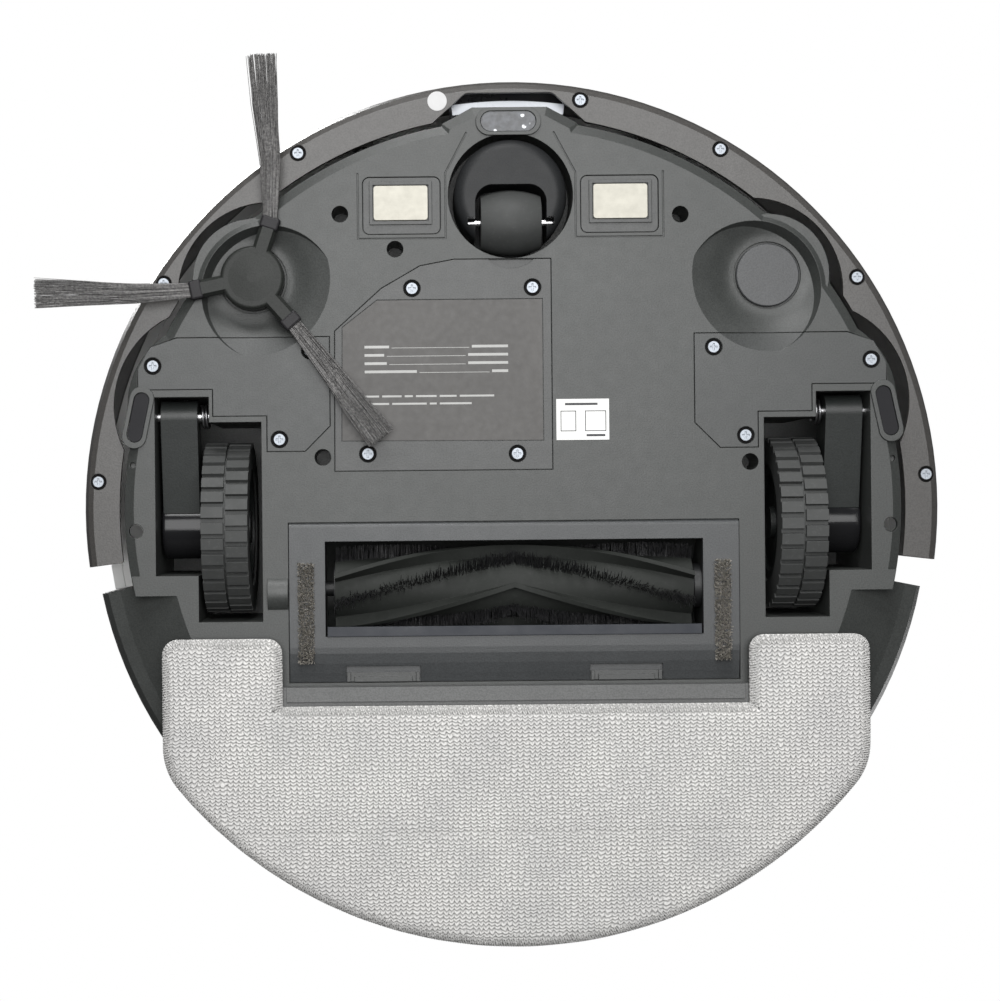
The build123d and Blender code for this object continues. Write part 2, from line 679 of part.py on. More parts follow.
FINS = [rib for n in range(4) for rib in chevron_rib(11.4, FIN_R, 2.0, 90 * n + 5, -TWIST)]
with BuildPart() as roller_fins:
    rod_x(0.5 - ROLLER_HALF, ROLLER_HALF - 0.5, ROLLER_Y, ROLLER_Z, 12.2)
    for rib in FINS:
        add(rib)
    rod_x(-ROLLER_HALF, ROLLER_HALF, ROLLER_Y, ROLLER_Z, 10.6, mode=Mode.SUBTRACT)

finish(roller_fins.part, "roller_fins")


ROWS = [rib for n in range(4) for rib in chevron_rib(12.5, BRISTLE_R, 2.4, 90 * n + 55, -TWIST)]
with BuildPart() as roller_bristles:
    for rib in ROWS:
        add(rib)

finish(roller_bristles.part, "roller_bristles")


with BuildPart() as roller_bearing:
    rod_x(-75.4, -72.4, ROLLER_Y, ROLLER_Z, 9.0)
    rod_x(-76.0, -72.0, ROLLER_Y, ROLLER_Z, 3.0 + RUN_GAP, mode=Mode.SUBTRACT)

finish(roller_bearing.part, "roller_bearing")


with BuildPart() as roller_gearbox:
    with BuildSketch(facing_x(78.2, 0, 0)) as side_view:
        with Locations((ROLLER_Y, ROLLER_Z)):
            Circle(5.9)
        with Locations((6.0, 44.0)):
            Circle(12.0)
        make_hull(side_view.sketch_local.edges())
    extrude(amount=11.0)
    rod_x(77.0, 84.0, ROLLER_Y, ROLLER_Z, 3.0 + RUN_GAP, mode=Mode.SUBTRACT)
    rod_x(77.0, 84.0, 6.0, 44.0, 4.0, mode=Mode.SUBTRACT)

finish(roller_gearbox.part, "roller_gearbox")


with BuildPart() as roller_motor:
    rod_x(38.0, 78.0, 6.0, 44.0, 11.5)
    rod_x(77.0, 83.0, 6.0, 44.0, 3.9)

finish(roller_motor.part, "roller_motor")


def wheel_arm(side):
    with BuildPart() as arm:
        with BuildSketch(facing_x(side * 134.0, 0, 0)) as profile:
            with Locations((PIVOT_Y, PIVOT_Z)):
                Circle(6.6)
            with Locations((AXLE_Y, WHEEL_R)):
                Circle(10.0)
            make_hull(profile.sketch_local.edges())
        extrude(amount=7.4, both=True)
        rod_x(side * 124.0, side * 144.0, AXLE_Y, WHEEL_R, 12.75, mode=Mode.SUBTRACT)
        block(side * 124, side * 144, AXLE_Y - 30, AXLE_Y, 0, 60, mode=Mode.SUBTRACT)
        rod_x(side * 124.0, side * 144.0, PIVOT_Y, PIVOT_Z, AXLE_PIN_R + RUN_GAP, mode=Mode.SUBTRACT)
    return arm.part


def wheel_motor(side):
    with BuildPart() as motor:
        rod_x(side * 125.6, side * 142.0, AXLE_Y, WHEEL_R, 12.75)
        fillet(motor.edges().sort_by(Axis.X)[-1 if side > 0 else 0], 1.2)
        rod_x(side * 108.0, side * 126.0, AXLE_Y, WHEEL_R, 2.5)
    return motor.part


def wheel_hub(side):
    with BuildPart() as hub:
        rod_x(side * 106.6, side * 123.6, AXLE_Y, WHEEL_R, 24.0)
        rod_x(side * 106.0, side * 108.6, AXLE_Y, WHEEL_R, 20.0, mode=Mode.SUBTRACT)
        rod_x(side * 106.6, side * 112.0, AXLE_Y, WHEEL_R, 6.5)
        rod_x(side * 107.8, side * 125.0, AXLE_Y, WHEEL_R, 2.5 + RUN_GAP, mode=Mode.SUBTRACT)
    return hub.part


def tyre(side):
    """A tyre with two staggered rows of square lugs."""
    low = side * WHEEL_X - TREAD_W / 2
    with BuildPart() as ring:
        rod_x(low, low + TREAD_W, AXLE_Y, WHEEL_R, WHEEL_R - 2.0)
        for row in (0, 1):
            with BuildSketch(facing_x(low + row * (TREAD_W / 2 + 0.4), AXLE_Y, WHEEL_R)):
                with PolarLocations(WHEEL_R - 1.65, LUGS, start_angle=row * 180 / LUGS):
                    Rectangle(2.9, 4.4)
            extrude(amount=TREAD_W / 2 - 0.4)
        rod_x(low, low + TREAD_W, AXLE_Y, WHEEL_R, 24.05, mode=Mode.SUBTRACT)
    return ring.part


for name, side in (("right", 1), ("left", -1)):
    finish(wheel_arm(side), f"wheel_arm_{name}")
    finish(wheel_motor(side), f"wheel_motor_{name}")
    finish(wheel_hub(side), f"wheel_hub_{name}")
    finish(tyre(side), f"tyre_{name}")


with BuildPart() as wheel_pins:
    for side in (1, -1):
        rod_x(side * 119.6, side * 144.7, PIVOT_Y, PIVOT_Z, AXLE_PIN_R)

finish(wheel_pins.part, "wheel_pins")


def coil(plane, radius, wire, pitch, height):
    """A coil spring standing on a plane."""
    with BuildPart() as spring:
        with BuildLine(plane) as path:
            Helix(pitch, height, radius, direction=plane.z_dir)
        with BuildSketch(Plane(path.line @ 0, z_dir=path.line % 0)):
            Circle(wire)
        sweep()
    return spring.part


WHEEL_COILS = [coil(facing_x(122.4, PIVOT_Y, PIVOT_Z), 4.4, 0.6, 1.4, 3.0),
               coil(facing_x(-125.4, PIVOT_Y, PIVOT_Z), 4.4, 0.6, 1.4, 3.0)]
with BuildPart() as wheel_springs:
    for turn in WHEEL_COILS:
        add(turn)

finish(wheel_springs.part, "wheel_springs")


with BuildPart() as mop_cloth:
    with BuildSketch(level(0)) as cloth_face:
        Circle(CLOTH_R)
        with Locations((0, 49.0)):
            Rectangle(400.0, 200.0, mode=Mode.SUBTRACT)
        with Locations((0, -150.0)):
            Rectangle(280.0, 198.0, mode=Mode.INTERSECT)
        with Locations((0, -53.0)):
            Rectangle(185.0, 50.0, mode=Mode.SUBTRACT)
        fillet(cloth_face.vertices().filter_by(lambda v: v.Y > BODY_Y - 70), 6.0)
        fillet(cloth_face.vertices().filter_by(lambda v: v.Y < BODY_Y - 99 and abs(v.X - BODY_X) > 130), 26.0)
    extrude(amount=CLOTH_T)

finish(mop_cloth.part, "mop_cloth")


with BuildPart() as mop_plate:
    with BuildSketch(level(CLOTH_T + 0.1)) as plate_face:
        Circle(CLOTH_R - 4.0)
        with Locations((0, 52.0 - 5.5)):
            Rectangle(400.0, 200.0, mode=Mode.SUBTRACT)
        with Locations((0, -150.0)):
            Rectangle(272.0, 192.5, mode=Mode.INTERSECT)
        with Locations((0, -45.5)):
            Rectangle(189.0, 50.0, mode=Mode.SUBTRACT)
        fillet(plate_face.vertices().filter_by(lambda v: v.Y < BODY_Y - 90 and abs(v.X - BODY_X) > 120), 24.0)
    extrude(amount=PLATE_T)
    block(-PLATE_OUTLINE_X, PLATE_OUTLINE_X, -76.3, -70.5, CLOTH_T - 1.2, CLOTH_T + 3.0)

finish(mop_plate.part, "mop_plate")


with BuildPart() as water_tank:
    trimmed(-72.4, 72.4, -180.0, -97.6, CLOTH_T + PLATE_T + 0.2, 34.4, BODY_R - 2.0)
    for side in (1, -1):
        block(side * 70.0, side * 73.7, -150.0, -99.0, 27.2, 30.8)
    trimmed(-70.4, 70.4, -180.0, -99.6, 10.6, 32.4, BODY_R - 4.0, mode=Mode.SUBTRACT)

finish(water_tank.part, "water_tank")


with BuildPart() as dust_box:
    block(-60.0, 68.0, -140.0, -64.0, 39.0, CORE_TOP)
    block(-60.0, 68.0, -92.4, -64.0, 26.6, 39.5)
    block(-58.0, 66.0, -138.0, -66.0, 41.0, CORE_TOP - 2.0, mode=Mode.SUBTRACT)
    block(-58.0, 66.0, -90.4, -66.0, 28.6, 42.0, mode=Mode.SUBTRACT)
    block(-33, 33, -67, -63, 29.0, 37.0, mode=Mode.SUBTRACT)
    rod_x(-61.0, -57.0, FAN_Y, FAN_Z, 9.0, mode=Mode.SUBTRACT)

finish(dust_box.part, "dust_box")


with BuildPart() as dust_filter:
    block(-57.9, -50.0, -130.0, -98.0, 42.0, 70.0)

finish(dust_filter.part, "dust_filter")


with BuildPart() as fan_housing:
    rod_x(-97.0, -64.0, FAN_Y, FAN_Z, FAN_R)
    block(-97.0, -70.0, FAN_Y - 24, FAN_Y, FAN_Z + 6.0, FAN_Z + FAN_R - 0.2)
    rod_x(-95.0, -66.0, FAN_Y, FAN_Z, FAN_R - 2.0, mode=Mode.SUBTRACT)
    block(-95.0, -72.0, FAN_Y - 25, FAN_Y, FAN_Z + 8.0, FAN_Z + FAN_R - 2.2, mode=Mode.SUBTRACT)
    rod_x(-67.0, -63.0, FAN_Y, FAN_Z, 9.0, mode=Mode.SUBTRACT)
    rod_x(-96.0, -94.0, FAN_Y, FAN_Z, 6.0)
    rod_x(-95.2, -88.0, FAN_Y, FAN_Z, 1.5)

finish(fan_housing.part, "fan_housing")


with BuildPart() as fan_impeller:
    rod_x(-89.0, -87.0, FAN_Y, FAN_Z, FAN_R - 4.0)
    rod_x(-92.0, -80.0, FAN_Y, FAN_Z, 4.0)
    with BuildSketch(facing_x(-88.0, FAN_Y, FAN_Z)):
        with PolarLocations(FAN_R - 10.0, 9):
            Rectangle(9.0, 1.2, rotation=28)
    extrude(amount=8.0)
    rod_x(-93.0, -86.0, FAN_Y, FAN_Z, 1.5 + RUN_GAP, mode=Mode.SUBTRACT)

finish(fan_impeller.part, "fan_impeller")


with BuildPart() as lidar_base:
    post(0, TURRET_Y, COVER_Z - 10.0, LID_Z - 0.2, TURRET_R + 0.5)
    post(0, TURRET_Y, COVER_Z - 8.0, LID_Z + 1.0, TURRET_R - 6.0, mode=Mode.SUBTRACT)
    post(0, TURRET_Y, COVER_Z - 10.0, COVER_Z - 5.0, 8.0)
    post(0, TURRET_Y, COVER_Z - 11.0, COVER_Z - 4.0, 4.0 + RUN_GAP, mode=Mode.SUBTRACT)

finish(lidar_base.part, "lidar_base")


with BuildPart() as lidar_rotor:
    post(0, TURRET_Y, COVER_Z - 4.6, COVER_Z + TURRET_RISE - 4.4, TURRET_R - 8.0)
    post(0, TURRET_Y, COVER_Z - 9.5, COVER_Z - 4.0, 4.0)
    block(-20.0, 20.0, TURRET_Y + 14.0, TURRET_Y + 32.0, COVER_Z - 2.0, COVER_Z + 7.0, mode=Mode.SUBTRACT)
    rod_y(-9.0, TURRET_Y + 10.0, TURRET_Y + 24.0, COVER_Z + 2.5, 4.0)
    rod_y(9.0, TURRET_Y + 10.0, TURRET_Y + 24.0, COVER_Z + 2.5, 3.0)

finish(lidar_rotor.part, "lidar_rotor")


with BuildPart() as lidar_cap:
    post(0, TURRET_Y, COVER_Z + TURRET_RISE - 3.0, COVER_Z + TURRET_RISE, TURRET_R)
    fillet(lidar_cap.faces().sort_by(Axis.Z)[-1].edges(), 2.0)
    for angle in (90, 210, 330):
        x, y = polar(angle, TURRET_R - 3.0)
        post(x, TURRET_Y + y, LID_Z - 0.1, COVER_Z + TURRET_RISE - 2.5, 2.4)

finish(lidar_cap.part, "lidar_cap")


with BuildPart() as main_board:
    block(-66.0, 66.0, 66.0, 131.0, 56.1, 57.7)
    block(-12.0, 4.0, 80.0, 96.0, 57.7, 59.6)
    block(14.0, 30.0, 86.0, 98.0, 57.7, 59.2)
    for n in range(4):
        post(-44.0 + 9 * n, 112.0, 57.7, 66.0, 3.4)
    for n in range(5):
        block(-58.0 + 24 * n, -44.0 + 24 * n, 68.0, 73.0, 57.7, 62.0)

finish(main_board.part, "main_board")


with BuildPart() as battery_pack:
    block(-8.0, 60.5, 27.2, 75.0, 11.8, 32.4)
    fillet(battery_pack.edges().filter_by(Axis.Y), 6.0)

finish(battery_pack.part, "battery_pack")


def bumper_bosses():
    """Screw bosses on the lip and the two guide bosses behind the wall."""
    for side in (1, -1):
        for x, y in mirrored(BUMPER_SCREWS, side):
            post(x, y, 16.0, 21.0, 2.6)
        trimmed(side * 55, side * 65, 150.0, 175.0, 39.0, 49.0, BUMPER_R - 1)
        rod_y(side * SPRING_X, 149.0, 160.5, SPRING_Z, 2.5 + RUN_GAP, mode=Mode.SUBTRACT)


with BuildPart() as front_bumper:
    turned(
        [
            (LIP_R, 14.2), (BUMPER_R - 6.4, 14.2), (BUMPER_R - 4.2, 15.8), (BUMPER_R - 2.6, 20.0),
            (BUMPER_R - 1.2, 28.0), (BUMPER_R - 0.3, 35.0), (BUMPER_R, 44.0), (BUMPER_R, SIDE_TOP - 1.4),
            (BUMPER_R - 1.0, SIDE_TOP), (BUMPER_R - 3.0, SIDE_TOP), (BUMPER_R - 2.6, SIDE_TOP - 2.4),
            (BUMPER_R - 2.6, 44.0), (BUMPER_R - 2.9, 35.2), (BUMPER_R - 3.8, 28.4), (BUMPER_R - 5.2, 20.8),
            (BUMPER_R - 6.4, 17.6), (BUMPER_R - 7.6, 16.4), (LIP_R, 16.4),
        ],
        start=-7.5, sweep=195.0,
    )
    bumper_bosses()
    for side in (1, -1):
        with BuildSketch(level(10, side * BULGE_X, BULGE_Y)):
            Circle(CRATER_R + 6.0)
        extrude(amount=14.0, mode=Mode.SUBTRACT)
        with BuildSketch(level(10, side * 120.0, 42.0)):
            Circle(40.0)
        extrude(amount=14.0, mode=Mode.SUBTRACT)
        for x, y in mirrored(BUMPER_SCREWS, side):
            post(x, y, 13.0, 15.4, 3.3, mode=Mode.SUBTRACT)
            post(x, y, 13.0, 20.3, 1.4, mode=Mode.SUBTRACT)
    plate(NOTCH, 10, 17, corner=4.0, mode=Mode.SUBTRACT)
    with BuildSketch(facing_y(0, 180.0, 0)):
        with Locations((0, 47.0)):
            RectangleRounded(108.6, 22.6, 6.0)
    extrude(amount=20.0, mode=Mode.SUBTRACT)

finish(front_bumper.part, "front_bumper")


with BuildPart() as bumper_window:
    turned(
        [
            (BUMPER_R - 2.7, 35.0), (BUMPER_R - 0.4, 35.0), (BUMPER_R - 0.1, 44.0),
            (BUMPER_R - 0.1, 59.0), (BUMPER_R - 2.7, 59.0),
        ],
        start=70.0, sweep=40.0,
    )
    with BuildSketch(facing_y(0, 180.0, 0)):
        with Locations((0, 47.0)):
            RectangleRounded(108.0, 22.0, 5.7)
    extrude(amount=24.0, mode=Mode.INTERSECT)
    turned(
        [
            (161.0, 22.0), (165.2, 22.0), (165.2, 38.0), (BUMPER_R - 2.6, 38.0), (BUMPER_R - 2.6, 42.0),
            (163.6, 42.0), (163.6, 23.6), (161.0, 23.6),
        ],
        start=82.0, sweep=16.0,
    )

finish(bumper_window.part, "bumper_window")


with BuildPart() as bumper_screws:
    for side in (1, -1):
        for x, y in mirrored(BUMPER_SCREWS, side):
            screw(x, y, 15.3, 2.15, 1.3, 4.8)

finish(bumper_screws.part, "bumper_screws")


with BuildPart() as seal_sticker:
    post(28.8, 163.8, 14.0, 14.18, 3.9)

finish(seal_sticker.part, "seal_sticker")


BUMPER_COILS = [
    coil(facing_y(side * SPRING_X, 149.2, SPRING_Z), 3.6, 0.4, 2.3, 9.0) for side in (1, -1)
]
with BuildPart() as bumper_springs:
    for turn in BUMPER_COILS:
        add(turn)

finish(bumper_springs.part, "bumper_springs")
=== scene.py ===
import math
import random

import bmesh
import bpy
from mathutils import Matrix, Vector


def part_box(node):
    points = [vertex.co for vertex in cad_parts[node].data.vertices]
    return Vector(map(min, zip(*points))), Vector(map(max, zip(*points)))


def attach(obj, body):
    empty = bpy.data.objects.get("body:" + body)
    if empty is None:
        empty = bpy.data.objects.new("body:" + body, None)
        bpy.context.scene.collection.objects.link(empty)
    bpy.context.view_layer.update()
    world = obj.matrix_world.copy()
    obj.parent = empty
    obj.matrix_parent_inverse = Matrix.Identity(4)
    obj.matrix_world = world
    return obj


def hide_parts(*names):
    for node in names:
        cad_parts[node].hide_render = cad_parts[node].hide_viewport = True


# A robot vacuum and mop seen from below: the camera stands under the floor line and looks up.

MM = 0.001
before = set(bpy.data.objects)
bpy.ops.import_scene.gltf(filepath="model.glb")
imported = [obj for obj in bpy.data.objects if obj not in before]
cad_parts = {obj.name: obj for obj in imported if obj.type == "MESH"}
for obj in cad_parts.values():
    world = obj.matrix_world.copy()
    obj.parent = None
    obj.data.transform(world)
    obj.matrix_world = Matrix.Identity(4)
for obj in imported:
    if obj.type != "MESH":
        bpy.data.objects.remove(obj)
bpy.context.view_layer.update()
rng = random.Random(11)

cup_low, cup_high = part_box("caster_swivel")
BODY_X = (cup_low[0] + cup_high[0]) / 2
CASTER_Y = (cup_low[1] + cup_high[1]) / 2
BODY_Y = CASTER_Y - 124.8 * MM


def spot(x, y, z=0.0):
    """A point given in millimetres from the upright axis of the round body."""
    return Vector((BODY_X + x * MM, BODY_Y + y * MM, z * MM))


# ---------------------------------------------------------------- node helpers


def new_material(name):
    """A fresh material with its node tree and its shader."""
    material = bpy.data.materials.new(name)
    material.use_nodes = True
    tree = material.node_tree
    return material, tree, tree.nodes["Principled BSDF"]


def put_node(tree, kind, inputs=None, **settings):
    """A node with its settings and inputs; an input is a value or another node's socket."""
    made = tree.nodes.new(kind)
    for name, value in settings.items():
        setattr(made, name, value)
    for name, value in (inputs or {}).items():
        if isinstance(value, bpy.types.NodeSocket):
            tree.links.new(value, made.inputs[name])
        else:
            made.inputs[name].default_value = value
    return made


def object_place(tree, scale=(1, 1, 1), turn=(0, 0, 0)):
    """Object coordinates, stretched and turned."""
    coordinate = put_node(tree, "ShaderNodeTexCoord")
    settings = {"Vector": coordinate.outputs["Object"], "Scale": scale, "Rotation": turn}
    return put_node(tree, "ShaderNodeMapping", settings).outputs["Vector"]


def noise(tree, place, size, detail=3.0, rough=0.55):
    """Noise whose blotches are about size millimetres wide."""
    settings = {"Vector": place, "Scale": 1 / (size * MM), "Detail": detail, "Roughness": rough}
    return put_node(tree, "ShaderNodeTexNoise", settings).outputs["Fac"]


def ramp(tree, value, low, high, to_low=0.0, to_high=1.0):
    """A value squeezed from one range to another."""
    settings = {"Value": value, "From Min": low, "From Max": high, "To Min": to_low, "To Max": to_high}
    return put_node(tree, "ShaderNodeMapRange", settings).outputs["Result"]


def calculate(tree, operation, *values):
    """One step of arithmetic on numbers and sockets."""
    return put_node(tree, "ShaderNodeMath", dict(enumerate(values)), operation=operation).outputs[0]


def blend_colour(tree, factor, first, second):
    """A colour between two colours, each given outright or by a socket."""
    made = put_node(tree, "ShaderNodeMix", data_type="RGBA", blend_type="MIX")
    for index, value in ((0, factor), (6, first), (7, second)):
        if isinstance(value, bpy.types.NodeSocket):
            tree.links.new(value, made.inputs[index])
        else:
            made.inputs[index].default_value = value if index == 0 else (*value, 1.0)
    return made.outputs[2]


def bump(tree, height, distance, strength=1.0, under=None):
    """A bump of so many millimetres, on top of another normal."""
    inputs = {"Height": height, "Distance": distance * MM, "Strength": strength}
    if under is not None:
        inputs["Normal"] = under
    return put_node(tree, "ShaderNodeBump", inputs).outputs["Normal"]


def soft_edges(tree, radius):
    """A normal that rounds sharp edges over a radius in millimetres."""
    return put_node(tree, "ShaderNodeBevel", {"Radius": radius * MM}, samples=4).outputs["Normal"]


def shade(colour, factor):
    """A colour made darker or lighter."""
    return tuple(min(1.0, c * factor) for c in colour)


# ---------------------------------------------------------------- finishes


def moulded_plastic(name, colour, rough=0.5, grain=0.6, depth=0.05, worn=0.5, specular=0.45):
    """Injection-moulded plastic: spark-eroded grain, faint flow patches, rub marks and softened edges."""
    material, tree, shader = new_material(name)
    place = object_place(tree)
    patches = noise(tree, place, 34, 3)
    cloud = noise(tree, place, 5, 4, 0.65)
    fine = noise(tree, place, grain, 2)
    rub_place = object_place(tree, scale=(0.06, 1, 1), turn=(0, 0, 0.5))
    rub = ramp(tree, noise(tree, rub_place, 1.1, 5, 0.7), 0.62, 0.78, 0.0, worn)
    base = blend_colour(tree, ramp(tree, patches, 0.35, 0.68), shade(colour, 0.93), shade(colour, 1.07))
    base = blend_colour(tree, ramp(tree, cloud, 0.4, 0.62, 0.0, 0.35), base, shade(colour, 1.12))
    base = blend_colour(tree, ramp(tree, fine, 0.36, 0.6, 0.6, 0.0), base, shade(colour, 0.55))
    base = blend_colour(tree, rub, base, shade(colour, 1.3))
    tree.links.new(base, shader.inputs["Base Color"])
    roughness = ramp(tree, cloud, 0.3, 0.7, rough - 0.02, rough + 0.03)
    tree.links.new(roughness, shader.inputs["Roughness"])
    normal = bump(tree, fine, depth, 0.8, soft_edges(tree, 0.35))
    normal = bump(tree, patches, 0.12, 0.06, normal)
    tree.links.new(normal, shader.inputs["Normal"])
    shader.inputs["Specular IOR Level"].default_value = specular
    return material


def smooth_plastic(name, colour, rough=0.22, coat=0.3, specular=0.5):
    """Polished moulded plastic with hairline scratches and a few dull smears."""
    material, tree, shader = new_material(name)
    place = object_place(tree)
    smear = noise(tree, place, 18, 4)
    speck = noise(tree, place, 0.7, 3)
    lines = noise(tree, object_place(tree, scale=(0.02, 1, 1), turn=(0, 0, 1.1)), 0.5, 4, 0.75)
    hair = ramp(tree, lines, 0.66, 0.74, 0.0, 0.45)
    base = blend_colour(tree, ramp(tree, smear, 0.35, 0.7), shade(colour, 0.98), shade(colour, 1.02))
    base = blend_colour(tree, hair, base, tuple(min(1.0, c * 1.15 + 0.01) for c in colour))
    tree.links.new(base, shader.inputs["Base Color"])
    roughness = ramp(tree, smear, 0.3, 0.72, max(0.05, rough - 0.02), rough + 0.05)
    tree.links.new(roughness, shader.inputs["Roughness"])
    normal = bump(tree, speck, 0.01, 0.5, soft_edges(tree, 0.3))
    tree.links.new(normal, shader.inputs["Normal"])
    shader.inputs["Coat Weight"].default_value = coat
    shader.inputs["Coat Roughness"].default_value = 0.12
    shader.inputs["Specular IOR Level"].default_value = specular
    return material


def window_and_ledge(name, dark, pale):
    """The bumper's sensor window: dark outside, its moulded ledge behind the notch left pale."""
    material, tree, shader = new_material(name)
    place = object_place(tree)
    haze = noise(tree, place, 6, 3)
    from_axis = put_node(tree, "ShaderNodeVectorMath", {0: place, 1: spot(0, 0)}, operation="SUBTRACT")
    flatten = {0: from_axis.outputs[0], 1: (1, 1, 0)}
    level = put_node(tree, "ShaderNodeVectorMath", flatten, operation="MULTIPLY")
    reach = put_node(tree, "ShaderNodeVectorMath", {0: level.outputs[0]}, operation="LENGTH")
    outside = ramp(tree, reach.outputs["Value"], 0.1672, 0.1678)
    base = blend_colour(tree, outside, pale, dark)
    base = blend_colour(tree, ramp(tree, haze, 0.35, 0.7, 0.0, 0.02), base, (0.3, 0.32, 0.34))
    tree.links.new(base, shader.inputs["Base Color"])
    tree.links.new(ramp(tree, haze, 0.3, 0.7, 0.26, 0.3), shader.inputs["Roughness"])
    tree.links.new(bump(tree, haze, 0.01, 0.1, soft_edges(tree, 0.3)), shader.inputs["Normal"])
    return material


def faceted_lens(name, dark, painted_glint_colour):
    """A dark moulded lens with small white flecks painted into its colour: painted highlights that stand for
    glints on its inner facets.
    """
    material, tree, shader = new_material(name)
    place = object_place(tree)
    facets = {"Vector": place, "Scale": 1 / (3.4 * MM), "Randomness": 0.9}
    cells = put_node(tree, "ShaderNodeTexVoronoi", facets)
    glint_cell = ramp(tree, cells.outputs["Distance"], 0.2, 0.3, 1.0, 0.0)
    glint_choice = ramp(tree, noise(tree, place, 5, 2), 0.5, 0.56)
    painted_glint_mask = calculate(tree, "MULTIPLY", glint_cell, glint_choice)
    base = blend_colour(tree, ramp(tree, noise(tree, place, 2.2, 4), 0.4, 0.7), dark, shade(dark, 3.0))
    # painted highlight: near-white flecks mixed into the base colour stand for glints
    base = blend_colour(tree, painted_glint_mask, base, painted_glint_colour)
    tree.links.new(base, shader.inputs["Base Color"])
    tree.links.new(ramp(tree, noise(tree, place, 1.2, 3), 0.3, 0.7, 0.38, 0.5), shader.inputs["Roughness"])
    normal = bump(tree, cells.outputs["Distance"], 0.08, 0.5, soft_edges(tree, 0.3))
    tree.links.new(normal, shader.inputs["Normal"])
    shader.inputs["Coat Weight"].default_value = 0.25
    return material


def dull_rubber(name, colour, rough=0.72, dusty=0.35, specular=0.35):
    """Rubber with fine moulding texture and pale scuffs of dust in scattered patches."""
    material, tree, shader = new_material(name)
    place = object_place(tree)
    patches = noise(tree, place, 9, 4, 0.6)
    fine = noise(tree, place, 0.35, 3)
    scuff = ramp(tree, noise(tree, place, 1.6, 5, 0.75), 0.55, 0.72, 0.0, dusty)
    base = blend_colour(tree, patches, shade(colour, 0.85), shade(colour, 1.15))
    base = blend_colour(tree, scuff, base, tuple(c * 0.6 + 0.09 for c in colour))
    tree.links.new(base, shader.inputs["Base Color"])
    tree.links.new(ramp(tree, patches, 0.3, 0.7, rough - 0.08, rough + 0.1), shader.inputs["Roughness"])
    normal = bump(tree, fine, 0.03, 0.7, soft_edges(tree, 0.3))
    tree.links.new(bump(tree, patches, 0.1, 0.3, normal), shader.inputs["Normal"])
    shader.inputs["Specular IOR Level"].default_value = specular
    return material


def plated_metal(name, colour, rough=0.25, brush=0.3, metallic=1.0):
    """Plated or ground metal: drawn lines one way and tarnish."""
    material, tree, shader = new_material(name)
    place = object_place(tree)
    drawn = noise(tree, object_place(tree, scale=(0.03, 1, 1)), 0.25, 3, 0.7)
    tarnish = noise(tree, place, 4, 5, 0.65)
    base = blend_colour(tree, ramp(tree, tarnish, 0.35, 0.7), colour, shade(colour, 0.9))
    base = blend_colour(tree, ramp(tree, drawn, 0.5, 0.75, 0.0, brush), base, shade(colour, 0.7))
    tree.links.new(base, shader.inputs["Base Color"])
    tree.links.new(ramp(tree, tarnish, 0.3, 0.7, rough, rough + 0.06), shader.inputs["Roughness"])
    normal = bump(tree, drawn, 0.008, 0.6, soft_edges(tree, 0.25))
    tree.links.new(normal, shader.inputs["Normal"])
    shader.inputs["Metallic"].default_value = metallic
    return material


def plain_film(name, colour, rough=0.45):
    """Plastic label film with handling marks and a slight orange peel."""
    material, tree, shader = new_material(name)
    place = object_place(tree)
    cloud = ramp(tree, noise(tree, place, 22, 3), 0.35, 0.7)
    base = blend_colour(tree, cloud, shade(colour, 0.93), shade(colour, 1.07))
    smudge = ramp(tree, noise(tree, place, 2.6, 5, 0.7), 0.55, 0.75, 0.0, 0.25)
    base = blend_colour(tree, smudge, base, shade(colour, 1.25))
    tree.links.new(base, shader.inputs["Base Color"])
    roughness = ramp(tree, noise(tree, place, 3, 4), 0.3, 0.7, rough - 0.03, rough + 0.05)
    tree.links.new(roughness, shader.inputs["Roughness"])
    peel = bump(tree, noise(tree, place, 0.8, 3), 0.012, 0.4, soft_edges(tree, 0.15))
    tree.links.new(peel, shader.inputs["Normal"])
    shader.inputs["Specular IOR Level"].default_value = 0.4
    return material


COLUMN_PITCH = 2.3
ROW_PITCH = 1.55
LOOP_LEAN = 0.55
CREASE_Y = -128


